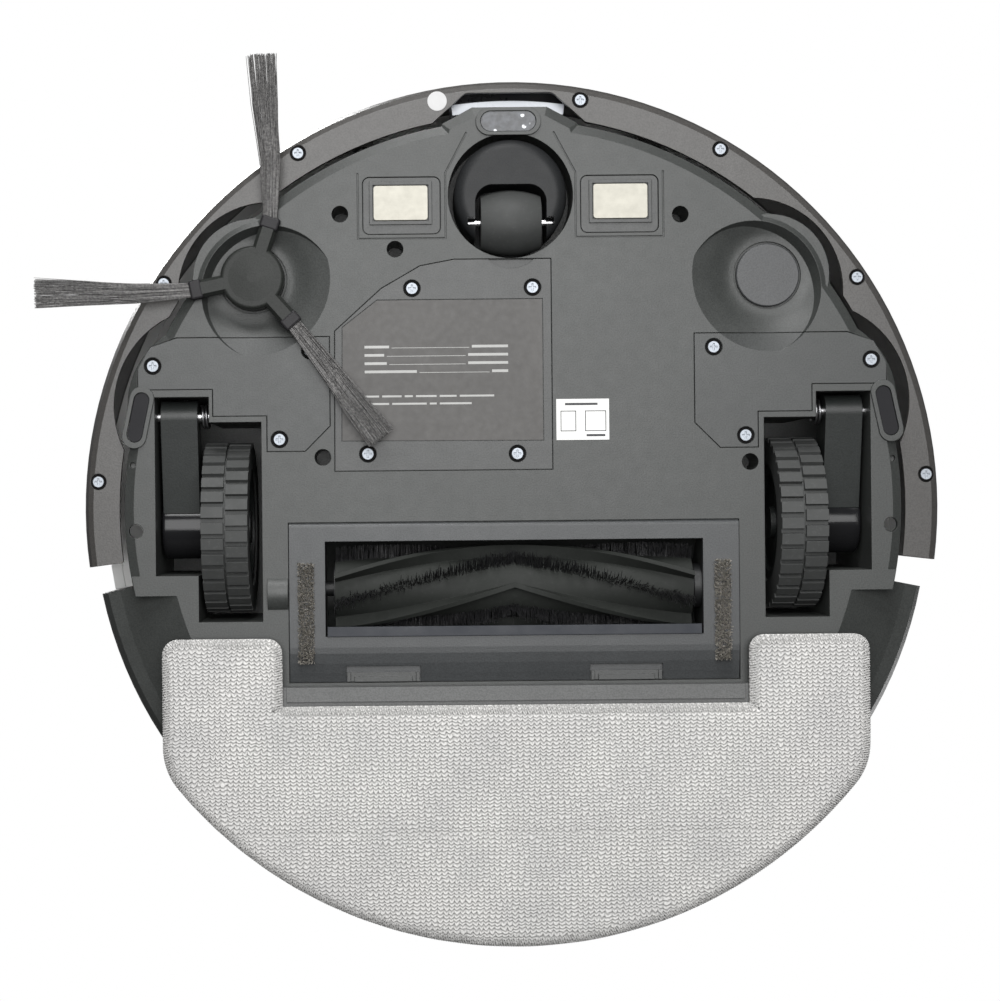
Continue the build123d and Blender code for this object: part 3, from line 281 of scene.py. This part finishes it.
def knit(name, colour):
    """Knitted microfibre in the cloth's own flat coordinates: columns of small leaning loops."""
    material, tree, shader = new_material(name)
    cloth = put_node(tree, "ShaderNodeUVMap", uv_map="flat").outputs["UV"]
    sway = noise(tree, cloth, 9, 3)
    push = put_node(tree, "ShaderNodeCombineXYZ", {"X": ramp(tree, sway, 0.3, 0.7, -0.0008, 0.0008)})
    bent = put_node(tree, "ShaderNodeVectorMath", {0: cloth, 1: push.outputs[0]}, operation="ADD")
    split = put_node(tree, "ShaderNodeSeparateXYZ", {"Vector": bent.outputs[0]})
    across_cloth, along_cloth = split.outputs["X"], split.outputs["Y"]
    half_columns = calculate(tree, "MULTIPLY", across_cloth, 2 / (COLUMN_PITCH * MM))
    off_centre = calculate(tree, "PINGPONG", half_columns, 1.0)
    rows = calculate(tree, "MULTIPLY", along_cloth, 1 / (ROW_PITCH * MM))
    loose = ramp(tree, noise(tree, cloth, 5.0, 3), 0.3, 0.7, -0.4, 0.4)
    leaning = calculate(tree, "MULTIPLY_ADD", off_centre, LOOP_LEAN, rows)
    shifted = calculate(tree, "ADD", leaning, loose)
    wave = calculate(tree, "SINE", calculate(tree, "MULTIPLY", shifted, math.tau))
    loop = ramp(tree, wave, -0.9, 0.5)
    rib_relief_and_shade = ramp(tree, off_centre, 0.02, 0.42)
    fibre = noise(tree, cloth, 0.45, 3, 0.7)
    worn = noise(tree, cloth, 24, 4)
    from_crease = calculate(tree, "ABSOLUTE", calculate(tree, "ADD", along_cloth, -CREASE_Y * MM))
    # the pressed crease: a shallow dent by bump, with painted shade along it
    crease_dent_and_shade = ramp(tree, from_crease, 0.4 * MM, 1.8 * MM, 1.0, 0.0)
    # painted shade and highlight: the loops' low parts are darkened and their tops lightened, following the
    # same wave that drives the loop bump below
    base = blend_colour(tree, loop, shade(colour, 0.68), shade(colour, 1.18))
    # painted shade in the grooves between the loop columns, besides the rib bump below
    base = blend_colour(tree, ramp(tree, rib_relief_and_shade, 0.0, 1.0, 0.7, 0.0), base, shade(colour, 0.5))
    base = blend_colour(tree, ramp(tree, fibre, 0.35, 0.62, 0.4, 0.0), base, shade(colour, 0.66))
    base = blend_colour(tree, ramp(tree, worn, 0.38, 0.68, 0.0, 0.28), base, (0.36, 0.36, 0.37))
    # painted shade along the crease
    base = blend_colour(tree, ramp(tree, crease_dent_and_shade, 0.0, 1.0, 0.0, 0.22), base, shade(colour, 0.7))
    tree.links.new(base, shader.inputs["Base Color"])
    shader.inputs["Roughness"].default_value = 0.95
    shader.inputs["Specular IOR Level"].default_value = 0.1
    shader.inputs["Sheen Weight"].default_value = 0.2
    shader.inputs["Sheen Roughness"].default_value = 0.5
    normal = bump(tree, rib_relief_and_shade, 0.25, 0.7)
    normal = bump(tree, loop, 0.4, 0.85, normal)
    normal = bump(tree, fibre, 0.2, 0.6, normal)
    tree.links.new(bump(tree, crease_dent_and_shade, -0.2, 0.6, normal), shader.inputs["Normal"])
    return material


def nylon(name, colour, tip, rough=0.38):
    """Nylon bristle: colour drifts from hair to hair, with a soft sheen."""
    material, tree, shader = new_material(name)
    place = object_place(tree)
    strand = noise(tree, place, 0.9, 2)
    patch = noise(tree, place, 12, 2)
    base = blend_colour(tree, ramp(tree, strand, 0.35, 0.65), shade(colour, 0.7), tip)
    base = blend_colour(tree, ramp(tree, patch, 0.35, 0.7, 0.0, 0.5), base, colour)
    tree.links.new(base, shader.inputs["Base Color"])
    tree.links.new(ramp(tree, strand, 0.3, 0.7, rough - 0.08, rough + 0.12), shader.inputs["Roughness"])
    tree.links.new(bump(tree, noise(tree, place, 0.15, 2), 0.01, 0.5), shader.inputs["Normal"])
    return material


base_grey = moulded_plastic("base grey", (0.043, 0.046, 0.044), rough=0.43, worn=0.3)
cover_grey = moulded_plastic("cover grey", (0.05, 0.052, 0.051), rough=0.42, worn=0.35)
side_cover_grey = moulded_plastic("side cover grey", (0.043, 0.046, 0.045), rough=0.43, worn=0.35)
frame_grey = moulded_plastic("brush frame grey", (0.045, 0.048, 0.05), rough=0.4, worn=0.4)
cap_grey = moulded_plastic("blank cap grey", (0.052, 0.054, 0.056), rough=0.42)
hub_grey = moulded_plastic("side brush grey", (0.022, 0.024, 0.022), rough=0.45, specular=0.2)
bumper_grey = moulded_plastic("bumper grey", (0.066, 0.063, 0.06), rough=0.38, worn=0.25)
caster_black = moulded_plastic("caster black", (0.016, 0.017, 0.018), rough=0.5, worn=0.2, specular=0.25)
arm_black = moulded_plastic("arm black", (0.022, 0.025, 0.024), rough=0.4)
inner_black = moulded_plastic("inner black", (0.009, 0.0095, 0.01), rough=0.5)
seat_black = moulded_plastic("contact seat grey", (0.045, 0.047, 0.046), rough=0.42)
plate_grey = moulded_plastic("mop plate grey", (0.1, 0.102, 0.101), rough=0.4)
can_black = smooth_plastic("motor can black", (0.01, 0.01, 0.011), rough=0.14, coat=0.1, specular=0.22)
shell_white = smooth_plastic("shell white", (0.78, 0.78, 0.765), rough=0.28, coat=0.4)
smoked = smooth_plastic("smoked tank", (0.035, 0.037, 0.042), rough=0.2, coat=0.5)
infrared = smooth_plastic("dark sensor lens", (0.008, 0.008, 0.01), rough=0.5, coat=0.0, specular=0.2)
tread_rubber = dull_rubber("tread rubber", (0.05, 0.052, 0.051), rough=0.6, dusty=0.35)
caster_rubber = dull_rubber("caster rubber", (0.04, 0.042, 0.041), rough=0.6, dusty=0.2)
# dark rubber, its colour lowered further as painted shade for the dim roller chamber
fin_rubber_darkened_for_shade = dull_rubber("roller fin rubber", (0.02, 0.022, 0.02), rough=0.6, dusty=0.1, specular=0.18)
lip_rubber = dull_rubber("scraper rubber", (0.018, 0.021, 0.028), rough=0.45, dusty=0.1)
nickel = plated_metal("warm nickel", (0.44, 0.425, 0.37), rough=0.5, brush=0.15, metallic=0.3)
zinc = plated_metal("bright zinc", (0.36, 0.39, 0.43), rough=0.42, metallic=0.35)
# painted shade: near-black matte rings that darken the screw recesses
shade_ring_black = dull_rubber("washer black", (0.008, 0.008, 0.008), rough=0.7, dusty=0.04, specular=0.06)
steel = plated_metal("ground steel", (0.62, 0.62, 0.63), rough=0.22)
spring_steel = plated_metal("spring steel", (0.35, 0.35, 0.36), rough=0.3)
rating_film = plain_film("rating film", (0.062, 0.059, 0.056))
white_film = plain_film("white film", (0.74, 0.74, 0.725))
silver_film = plain_film("silver film", (0.5, 0.5, 0.5))
# the front sensor lens carries painted glints: white flecks in its colour
lens_with_painted_glints = faceted_lens("sensor lens", (0.02, 0.022, 0.026), (0.85, 0.88, 0.92))
board_green = smooth_plastic("board green", (0.01, 0.09, 0.035), rough=0.35)
shrink_blue = smooth_plastic("shrink film blue", (0.02, 0.05, 0.16), rough=0.3)
bumper_glass = window_and_ledge("bumper window", (0.012, 0.012, 0.016), (0.62, 0.65, 0.7))
print_pale = plain_film("pale print", (0.42, 0.42, 0.41), 0.6)
print_dark = plain_film("dark print", (0.05, 0.05, 0.055), 0.6)
crimp_black = moulded_plastic("crimp sleeve black", (0.016, 0.015, 0.017), rough=0.5, worn=0.2, specular=0.25)
filter_paper = moulded_plastic("filter paper", (0.62, 0.61, 0.57), rough=0.85, grain=0.8, depth=0.1)

FINISHES = {
    "base_shell": base_grey, "battery_cover": cover_grey, "wheel_cover_right": side_cover_grey,
    "wheel_cover_left": side_cover_grey, "brush_cover": frame_grey, "brush_latch_right": cover_grey,
    "brush_latch_left": cover_grey, "brush_cap": cap_grey, "side_brush_hub": hub_grey,
    "front_bumper": bumper_grey, "caster_swivel": caster_black, "caster_wheel": caster_rubber,
    "caster_axle": steel, "contact_seats": seat_black, "charging_contacts": nickel,
    "screws": zinc, "bumper_screws": zinc, "front_cliff_lens": lens_with_painted_glints,
    "side_cliff_lenses": infrared, "rating_label": rating_film, "approval_label": white_film,
    "seal_sticker": silver_film, "scraper_lip": lip_rubber, "roller_core": inner_black,
    "roller_fins": fin_rubber_darkened_for_shade, "roller_bearing": inner_black, "roller_gearbox": inner_black,
    "roller_motor": steel, "side_brush_gearbox": inner_black, "wheel_arm_right": arm_black,
    "wheel_arm_left": arm_black, "wheel_motor_right": can_black, "wheel_motor_left": can_black,
    "wheel_hub_right": arm_black, "wheel_hub_left": arm_black, "tyre_right": tread_rubber,
    "tyre_left": tread_rubber, "wheel_pins": steel, "wheel_springs": spring_steel,
    "bumper_springs": spring_steel, "top_cover": shell_white, "top_lid": shell_white,
    "lidar_cap": shell_white, "power_button": shell_white, "lid_pin": steel, "lidar_base": inner_black,
    "lidar_rotor": inner_black, "fan_housing": inner_black, "fan_impeller": cap_grey,
    "dust_box": smoked, "dust_filter": filter_paper, "water_tank": smoked, "mop_plate": plate_grey,
    "main_board": board_green, "battery_pack": shrink_blue, "bumper_window": bumper_glass,
}
for node_name, finish in FINISHES.items():
    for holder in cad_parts[node_name].material_slots:
        holder.material = finish


# ---------------------------------------------------------------- piece helpers


def piece_from(mesh_maker, name, material, body):
    """A piece at the origin from a bmesh, riding on a body."""
    mesh = bpy.data.meshes.new(name)
    mesh_maker.to_mesh(mesh)
    mesh_maker.free()
    made = bpy.data.objects.new(name, mesh)
    bpy.context.collection.objects.link(made)
    mesh.materials.append(material)
    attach(made, body)
    return made


def hair_piece(name, strands, radius, material, body, replaced=None):
    """Many thin strands as one mesh; each strand is a list of points, thinning to its tip."""
    curve = bpy.data.curves.new(name, "CURVE")
    curve.dimensions = "3D"
    curve.bevel_depth = radius * MM
    curve.bevel_resolution = 0
    curve.use_fill_caps = False
    for points in strands:
        line = curve.splines.new("POLY")
        line.points.add(len(points) - 1)
        for index, point in enumerate(points):
            line.points[index].co = (*point, 1.0)
            line.points[index].radius = 1.0 - 0.45 * index / (len(points) - 1)
    holder = bpy.data.objects.new(name + "_line", curve)
    bpy.context.collection.objects.link(holder)
    bpy.context.view_layer.update()
    mesh = bpy.data.meshes.new_from_object(holder.evaluated_get(bpy.context.evaluated_depsgraph_get()))
    bpy.data.objects.remove(holder)
    made = bpy.data.objects.new(name, mesh)
    bpy.context.collection.objects.link(made)
    mesh.materials.clear()
    mesh.materials.append(material)
    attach(made, body)
    if replaced:
        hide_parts(replaced)
    return made


# ---------------------------------------------------------------- mop cloth

# The cut outline, in millimetres: a round rear edge and two ears beside the brush, alike on both sides.
CLOTH_R = 173.5
CLOTH_T = 4.0
SIDE_X = 140.0
EAR_TOP = -51.0
EAR_R = 6.0
EAR_Y = EAR_TOP - EAR_R
EAR_OUT_X = SIDE_X - EAR_R
NOTCH_X = 92.5
NOTCH_Y = -78.0
EAR_IN_X = NOTCH_X + EAR_R
CORNER_R = 26.0
CORNER_X = SIDE_X - CORNER_R
CORNER_Y = -93.6
CORNER_SWEEP = 39.39
TRIM = 0.4


def rounds_corner(x, y):
    """Whether the nearest stretch of outline is a rounded rear corner."""
    out, down = abs(x) - CORNER_X, CORNER_Y - y
    return out > 0 and down > 0 and math.atan2(down, out) < math.radians(CORNER_SWEEP)


def inside_cloth(x, y):
    """Whether a point lies within the cloth's cut outline."""
    if abs(x) > SIDE_X - TRIM or y > EAR_TOP - TRIM:
        return False
    if y > NOTCH_Y - TRIM and abs(x) < NOTCH_X + TRIM:
        return False
    if rounds_corner(x, y):
        return math.hypot(abs(x) - CORNER_X, y - CORNER_Y) < CORNER_R - TRIM
    return math.hypot(x, y) < CLOTH_R - TRIM


def nearest_on_outline(x, y):
    """Where a border point of the grid is pulled to."""
    places = []
    side = 1 if x > 0 else -1
    if y > CORNER_Y:
        places.append((side * SIDE_X, min(y, EAR_Y)))
    if rounds_corner(x, y):
        way = Vector((x - side * CORNER_X, y - CORNER_Y)).normalized() * CORNER_R
        places.append((side * CORNER_X + way.x, CORNER_Y + way.y))
    else:
        reach = math.hypot(x, y)
        places.append((x * CLOTH_R / reach, y * CLOTH_R / reach))
    if abs(x) > EAR_IN_X - 0.5:
        places.append((max(EAR_IN_X, min(EAR_OUT_X, abs(x))) * side, EAR_TOP))
    if y > NOTCH_Y - 1 and abs(x) < EAR_IN_X + 1.5:
        places.append((side * NOTCH_X, max(NOTCH_Y, min(EAR_Y, y))))
    if abs(x) < NOTCH_X + 0.5:
        places.append((x, NOTCH_Y))
    for ear_x, outward in ((EAR_OUT_X, side), (EAR_IN_X, -side)):
        corner = Vector((side * ear_x, EAR_Y))
        way = Vector((x, y)) - corner
        if way.x * outward > 0 and way.y > 0:
            places.append(tuple(corner + way.normalized() * EAR_R))
    return min(places, key=lambda p: (p[0] - x) ** 2 + (p[1] - y) ** 2)


GRID_LENGTH = 281.0
GRID_WIDTH = 125.0
GRID_TOP = -50.0
PILE_RISE = 0.35
SEWN_RISE = 1.35
BESIDE_SEWN_RISE = 0.95


def underside_rise(x, y):
    """How far the pile's slow waves lift the underside off the floor."""
    swell = 0.28 * math.sin(x * 0.055 + 1.3) * math.sin(y * 0.09)
    return PILE_RISE + swell + 0.16 * math.sin(x * 0.21 + y * 0.05)


def make_mop_cloth():
    """A knitted pad cut to the plate's outline, thick at its middle, thin and wavy at its sewn border."""
    bm = bmesh.new()
    bmesh.ops.create_grid(bm, x_segments=188, y_segments=84, size=0.5)
    for v in bm.verts:
        v.co = Vector((v.co.x * GRID_LENGTH, GRID_TOP - (0.5 - v.co.y) * GRID_WIDTH, 0.0))
    outside = [v for v in bm.verts if not inside_cloth(v.co.x, v.co.y)]
    bmesh.ops.delete(bm, geom=outside, context="VERTS")
    lone = [v for v in bm.verts if len(v.link_faces) == 0]
    bmesh.ops.delete(bm, geom=lone, context="VERTS")
    edge_verts = [v for v in bm.verts if v.is_boundary]
    for v in edge_verts:
        x, y = nearest_on_outline(v.co.x, v.co.y)
        v.co.x, v.co.y = x, y
    bmesh.ops.remove_doubles(bm, verts=bm.verts[:], dist=0.12)
    flat = bm.loops.layers.uv.new("flat")
    for face in bm.faces:
        for loop in face.loops:
            loop[flat].uv = (loop.vert.co.x * MM, loop.vert.co.y * MM)
    bmesh.ops.recalc_face_normals(bm, faces=bm.faces[:])
    if sum(f.normal.z for f in bm.faces) > 0:
        bmesh.ops.reverse_faces(bm, faces=bm.faces[:])
    area = sum(f.calc_area() for f in bm.faces)
    border = {v for v in bm.verts if v.is_boundary}
    grown = bmesh.ops.extrude_face_region(bm, geom=bm.faces[:], use_keep_orig=True)
    for v in (g for g in grown["geom"] if isinstance(g, bmesh.types.BMVert)):
        v.co.z = CLOTH_T
    beside_border = {n.other_vert(v) for v in border for n in v.link_edges} - border
    for v in (low for low in bm.verts if low.co.z < 1.0):
        rise = underside_rise(v.co.x, v.co.y)
        if v in border:
            rise = SEWN_RISE + 0.25 * math.sin(v.co.x * 0.3 + v.co.y * 0.4)
        elif v in beside_border:
            rise = BESIDE_SEWN_RISE
        v.co.z = max(0.0, rise)
    for v in bm.verts:
        v.co = spot(v.co.x, v.co.y, v.co.z)
    bmesh.ops.recalc_face_normals(bm, faces=bm.faces[:])
    for face in bm.faces:
        face.smooth = True
    cloth = piece_from(bm, "mop_pad", knit("mop knit", (0.66, 0.652, 0.635)), "mop_module")
    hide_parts("mop_cloth")
    return cloth


def straight_run(start, stop, step):
    """Evenly spaced points from start up to, but not at, stop."""
    count = max(1, int((Vector(stop) - Vector(start)).length / step))
    return [Vector(start).lerp(Vector(stop), n / count) for n in range(count)]


def arc_run(x, y, radius, angles):
    """Points round a centre at angles in radians."""
    return [Vector((x + radius * math.cos(a), y + radius * math.sin(a))) for a in angles]


def outline_points(step, inset):
    """Points along the cloth's outline, a little inside it."""
    ear_r = EAR_R - inset
    side_x, top, notch_x, notch_y = SIDE_X - inset, EAR_TOP - inset, NOTCH_X + inset, NOTCH_Y - inset
    corner_turns = [math.radians(-CORNER_SWEEP * (1 - n / 9)) for n in range(9)]
    run = arc_run(CORNER_X, CORNER_Y, CORNER_R - inset, corner_turns)
    run += straight_run((side_x, CORNER_Y), (side_x, EAR_Y), step)
    run += arc_run(EAR_OUT_X, EAR_Y, ear_r, (0.4, 0.8, 1.2))
    run += straight_run((EAR_OUT_X, top), (EAR_IN_X, top), step)
    run += arc_run(EAR_IN_X, EAR_Y, ear_r, (1.9, 2.4, 2.8))
    run += straight_run((notch_x, EAR_Y), (notch_x, notch_y), step)
    run += straight_run((notch_x, notch_y), (0, notch_y), step)
    left = [Vector((-p.x, p.y)) for p in reversed(run)]
    sweep = 180 - 2 * CORNER_SWEEP
    count = int(math.radians(sweep) * (CLOTH_R - inset) / step)
    rear_turns = [math.radians(180 + CORNER_SWEEP + sweep * n / count) for n in range(count)]
    return run + left + arc_run(0, 0, CLOTH_R - inset, rear_turns)


def make_overlock():
    """The overlocked edge of the cloth: a thread wound over the border, loop by loop."""
    strands = []
    points = outline_points(1.9, 0.9)
    for here, ahead in zip(points, points[1:] + points[:1]):
        way = ahead - here
        if way.length < 0.01:
            continue
        across = Vector((way.y, -way.x)).normalized()
        for turn in (0.0, 0.5):
            middle = here.lerp(ahead, turn)
            outer = middle + across * 0.75
            inner = middle - across * 2.4 + way * 0.45
            z = 1.0 + 0.1 * math.sin(middle.x * 0.3 + middle.y * 0.4)
            upper, lower = spot(*outer, z + 0.9), spot(*outer, z - 0.1)
            strands.append([upper, lower, spot(*middle.lerp(inner, 0.5), 0.42), spot(*inner, 0.5)])
    thread = nylon("overlock thread", (0.52, 0.515, 0.505), (0.62, 0.615, 0.605), 0.8)
    return hair_piece("mop_overlock", strands, 0.3, thread, "mop_module")


make_mop_cloth()
make_overlock()


# ---------------------------------------------------------------- bristles


HUB = (103.3, 92.6)
ARM_ANGLES = (108.5, -11.5, 228.5)
TUFT_TIPS = ((HUB[0] - 5.0, HUB[1] + 88.6), (189.7, HUB[1] - 5.8), (HUB[0] - 51.3, HUB[1] - 64.5))
BRISTLES_PER_TUFT = 230


def make_side_tufts():
    """Three bunches of nylon bristles that leave their crimps, sag and fan out."""
    strands = []
    for angle, tip in zip(ARM_ANGLES, TUFT_TIPS):
        out = Vector((math.cos(math.radians(angle)), math.sin(math.radians(angle)), 0))
        root = Vector((*HUB, 6.8)) + out * 23.5
        end = Vector((*tip, 3.1))
        side = (end - root).cross(Vector((0, 0, 1))).normalized()
        for n in range(BRISTLES_PER_TUFT):
            lane = rng.uniform(-1, 1)
            layer = rng.uniform(-1, 1)
            start = root + side * lane * 2.7 + Vector((0, 0, layer * 1.25))
            stop = end + side * (lane * 5.4 + rng.gauss(0, 0.5)) + Vector((0, 0, layer * 0.75))
            stop += (root - end).normalized() * rng.uniform(0, 2.6) * (1.6 if n % 9 == 0 else 0.5)
            pull = out * 16
            middle = start.lerp(stop, 0.32) + pull * 0.22 + side * rng.gauss(0, 0.35)
            late = start.lerp(stop, 0.7) + pull * 0.05 + side * rng.gauss(0, 0.35)
            strands.append([spot(*p) for p in (start, middle, late, stop)])
    bristle = nylon("side brush nylon", (0.075, 0.073, 0.073), (0.19, 0.185, 0.18))
    tufts = "side_brush_tufts"
    return hair_piece("side_bristles", strands, 0.17, bristle, "side_brush", tufts)


def make_crimps():
    """The dark sleeves that close the ends of the side brush's arms on its bristles."""
    bm = bmesh.new()
    for angle in ARM_ANGLES:
        turn = Matrix.Rotation(math.radians(angle), 4, "Z")
        centre = spot(*HUB, 6.85) + turn @ Vector((22.9 * MM, 0, 0))
        stretch = Matrix.Diagonal((5.2 * MM, 7.7 * MM, 4.1 * MM, 1.0))
        bmesh.ops.create_cube(bm, size=1.0, matrix=Matrix.Translation(centre) @ turn @ stretch)
    rounding = {"offset": 0.9 * MM, "segments": 2, "profile": 0.5, "affect": "EDGES", "material": -1}
    bmesh.ops.bevel(bm, geom=bm.edges[:], **rounding)
    return piece_from(bm, "crimp_sleeves", crimp_black, "side_brush")


SHADE_RING_T = 0.04


def make_shade_rings(name, places, outer, inner, height, body):
    """Thin near-black rings round the screw heads in their recesses: painted shade that stands for the depth
    of the screw holes.
    """
    bm = bmesh.new()
    for x, y in places:
        section = ((inner, 0.0), (outer, 0.0), (outer, SHADE_RING_T), (inner, SHADE_RING_T))
        points = [bm.verts.new(spot(x + reach, y, height + lift)) for reach, lift in section]
        edges = [bm.edges.new((points[k - 1], points[k])) for k in range(4)]
        centre = spot(x, y, height)
        turned = {"cent": centre, "axis": (0, 0, 1), "angle": math.tau, "steps": 32, "use_merge": True}
        bmesh.ops.spin(bm, geom=points + edges, **turned)
    bmesh.ops.recalc_face_normals(bm, faces=bm.faces[:])
    return piece_from(bm, name, shade_ring_black, body)


FLOOR_SCREWS = [(39.7, 88.1), (-8.5, 88.1), (57.9, 22.1), (-1.9, 21.7)]
LIP_SCREWS = []
for side in (1, -1):
    FLOOR_SCREWS += [(side * x, y) for x, y in ((143.6, 58.0), (80.7, 63.6), (93.2, 28.2))]
    LIP_SCREWS += [(side * x, y) for x, y in ((28.8, 163.8), (85.0, 143.5), (139.5, 91.5), (166.5, 12.0))]


def make_print(name, bars, height, material):
    """Rows of plain bars that stand for print, a hair's breadth proud of a label."""
    bm = bmesh.new()
    for x0, x1, y0, y1 in bars:
        centre = spot((x0 + x1) / 2, (y0 + y1) / 2, height)
        stretch = Matrix.Diagonal((abs(x1 - x0) * MM, (y1 - y0) * MM, 0.03 * MM, 1.0))
        bmesh.ops.create_cube(bm, size=1.0, matrix=Matrix.Translation(centre) @ stretch)
    return piece_from(bm, name, material, "body")


RATING_PRINT = []
DATA_ROWS = ((64.2, 49.0, 16.0), (60.9, 51.0, 17.5), (57.6, 50.0, 17.5), (54.3, 38.0, 8.0))
NOTE_ROWS = ((44.6, (58.9, 52.0, 43.0, 38.5, 29.0, 21.0, 6.0)), (41.6, (58.9, 48.0, 33.0, 29.0, 15.0)))
for row_y, word_end, value_start in DATA_ROWS:
    RATING_PRINT.append((58.9, word_end, row_y, row_y + 1.1))
    RATING_PRINT.append((word_end - 1.0, value_start + 1.0, row_y, row_y + 0.25))
    RATING_PRINT.append((value_start, 1.5, row_y, row_y + 1.1))
for row_y, stops in NOTE_ROWS:
    for left, right in zip(stops, stops[1:]):
        RATING_PRINT.append((left, right + 1.2, row_y, row_y + 0.8))
APPROVAL_PRINT = [(-21.0, -34.0, 40.8, 41.7), (-29.5, -37.0, 28.3, 29.2)]
for x0, x1 in ((-19.2, -25.4), (-29.0, -37.4)):
    APPROVAL_PRINT += [
        (x0, x1, 38.3, 38.6), (x0, x1, 30.4, 30.7), (x0, x0 - 0.3, 30.4, 38.6), (x1 + 0.3, x1, 30.4, 38.6),
    ]


ROLLER_Y = -32.0
ROLLER_Z = 19.5
ROW_HALF = 71.0
ROW_TWIST = 76
ROW_ROOTS = 118


def roller_point(x, angle, radius):
    """A point at a radius and angle round the roller's axis."""
    a = math.radians(angle)
    return spot(x, ROLLER_Y + radius * math.cos(a), ROLLER_Z + radius * math.sin(a))


def make_roller_rows():
    """Close rows of stiff black bristles that follow the roller's V."""
    strands = []
    for row in range(4):
        for n in range(ROW_ROOTS):
            x = -ROW_HALF + 2 * ROW_HALF * n / (ROW_ROOTS - 1)
            row_angle = 90 * row + 55 - ROW_TWIST * abs(x) / ROW_HALF
            for m in range(10):
                lean = rng.gauss(0, 3.4)
                root_x = x + rng.uniform(-0.65, 0.65)
                angle = row_angle + rng.uniform(-6, 6)
                tip_x = root_x + rng.gauss(0, 0.35)
                reach = 17.9 - rng.uniform(0, 0.7)
                strands.append([roller_point(root_x, angle, 11.8), roller_point(tip_x, angle + lean, reach)])
    bristle = nylon("roller nylon", (0.012, 0.012, 0.013), (0.035, 0.035, 0.037))
    return hair_piece("roller_pile", strands, 0.16, bristle, "roller", "roller_bristles")


def make_pile_strips():
    """Two strips of short dense pile beside the mouth."""
    strands = []
    for side in (1, -1):
        for n in range(2100):
            x = side * rng.uniform(79.9, 86.2)
            y = rng.uniform(-61.3, -21.2)
            z = 5.6 + rng.uniform(0, 0.5)
            tip_x = x + rng.gauss(0, 0.3)
            tip_y = min(-21.0, max(-61.5, y + rng.gauss(0, 0.3)))
            strands.append([spot(x, y, 7.8), spot(tip_x, tip_y, z)])
    pile = nylon("pile nylon", (0.36, 0.34, 0.3), (0.56, 0.53, 0.48), 0.8)
    return hair_piece("mouth_pile", strands, 0.19, pile, "brush_cover", "pile_strips")


make_side_tufts()
make_crimps()
# painted shade in the screw recesses of the floor and of the bumper's lip
make_shade_rings("floor_washers", FLOOR_SCREWS, 3.4, 2.3, 10.12, "body")
make_shade_rings("lip_washers", LIP_SCREWS, 3.2, 2.2, 15.3, "front_bumper")
make_print("rating_print", RATING_PRINT, 9.14, print_pale)
make_print("approval_print", APPROVAL_PRINT, 8.79, print_dark)
make_roller_rows()
make_pile_strips()


# ---------------------------------------------------------------- stage, light and camera

floor_mesh = bmesh.new()
bmesh.ops.create_grid(floor_mesh, x_segments=1, y_segments=1, size=3.0)
floor_material, floor_tree, floor_shader = new_material("pale floor")
floor_shader.inputs["Base Color"].default_value = (0.86, 0.86, 0.85, 1)
floor_shader.inputs["Roughness"].default_value = 0.6
seen_under = put_node(floor_tree, "ShaderNodeNewGeometry").outputs["Backfacing"]
clear = put_node(floor_tree, "ShaderNodeBsdfTransparent")
sides = {0: seen_under, 1: floor_shader.outputs["BSDF"], 2: clear.outputs["BSDF"]}
choice = put_node(floor_tree, "ShaderNodeMixShader", sides)
floor_tree.links.new(choice.outputs[0], floor_tree.nodes["Material Output"].inputs["Surface"])
mesh = bpy.data.meshes.new("floor")
floor_mesh.to_mesh(mesh)
floor_mesh.free()
floor = bpy.data.objects.new("floor", mesh)
floor.location.z = -0.0003
bpy.context.collection.objects.link(floor)
mesh.materials.append(floor_material)
floor.visible_shadow = False
floor.visible_diffuse = False
floor.visible_glossy = False
floor.visible_transmission = False


def soft_light(name, place, target, size, power):
    """A round soft box that faces its target."""
    data = bpy.data.lights.new(name, "AREA")
    data.shape = "DISK"
    data.size = size
    data.energy = power
    lamp = bpy.data.objects.new(name, data)
    lamp.location = place
    lamp.rotation_euler = (Vector(target) - Vector(place)).to_track_quat("-Z", "Y").to_euler()
    bpy.context.collection.objects.link(lamp)
    return lamp


soft_light("broad soft box below", (0.0, 0.22, -1.02), (0, 0.03, 0.02), 0.9, 12.5)
soft_light("front strip below", (0.1, 1.05, -0.62), (0, 0.02, 0.02), 0.6, 11.0)
soft_light("upper key", (0.7, 0.9, 1.5), (0, 0, 0.04), 0.9, 26)
soft_light("upper fill", (-1.1, -0.9, 1.2), (0, 0, 0.04), 1.2, 14)

world = bpy.data.worlds.new("white room")
bpy.context.scene.world = world
world.use_nodes = True
sky = world.node_tree
backdrop = sky.nodes["Background"]
backdrop.inputs["Color"].default_value = (1, 1, 1, 1)
sight = put_node(sky, "ShaderNodeLightPath")
levels = {"Value": sight.outputs["Is Camera Ray"], "To Min": 0.1, "To Max": 1.0}
strength = put_node(sky, "ShaderNodeMapRange", levels)
sky.links.new(strength.outputs["Result"], backdrop.inputs["Strength"])

camera_data = bpy.data.cameras.new("camera")
camera = bpy.data.objects.new("camera", camera_data)
bpy.context.collection.objects.link(camera)
bpy.context.scene.camera = camera
camera_data.sensor_width = 36.0
camera_data.lens = 72.02
camera_data.clip_start = 0.01
camera_data.shift_x = 0.105
camera_data.shift_y = 0.001
roll = Matrix.Rotation(math.radians(-0.55), 4, "Z")
camera.matrix_world = Matrix.Translation(spot(47.3, 3.0, -791.0)) @ Matrix.Rotation(math.pi, 4, "Y") @ roll
bpy.context.scene.view_settings.view_transform = "Standard"
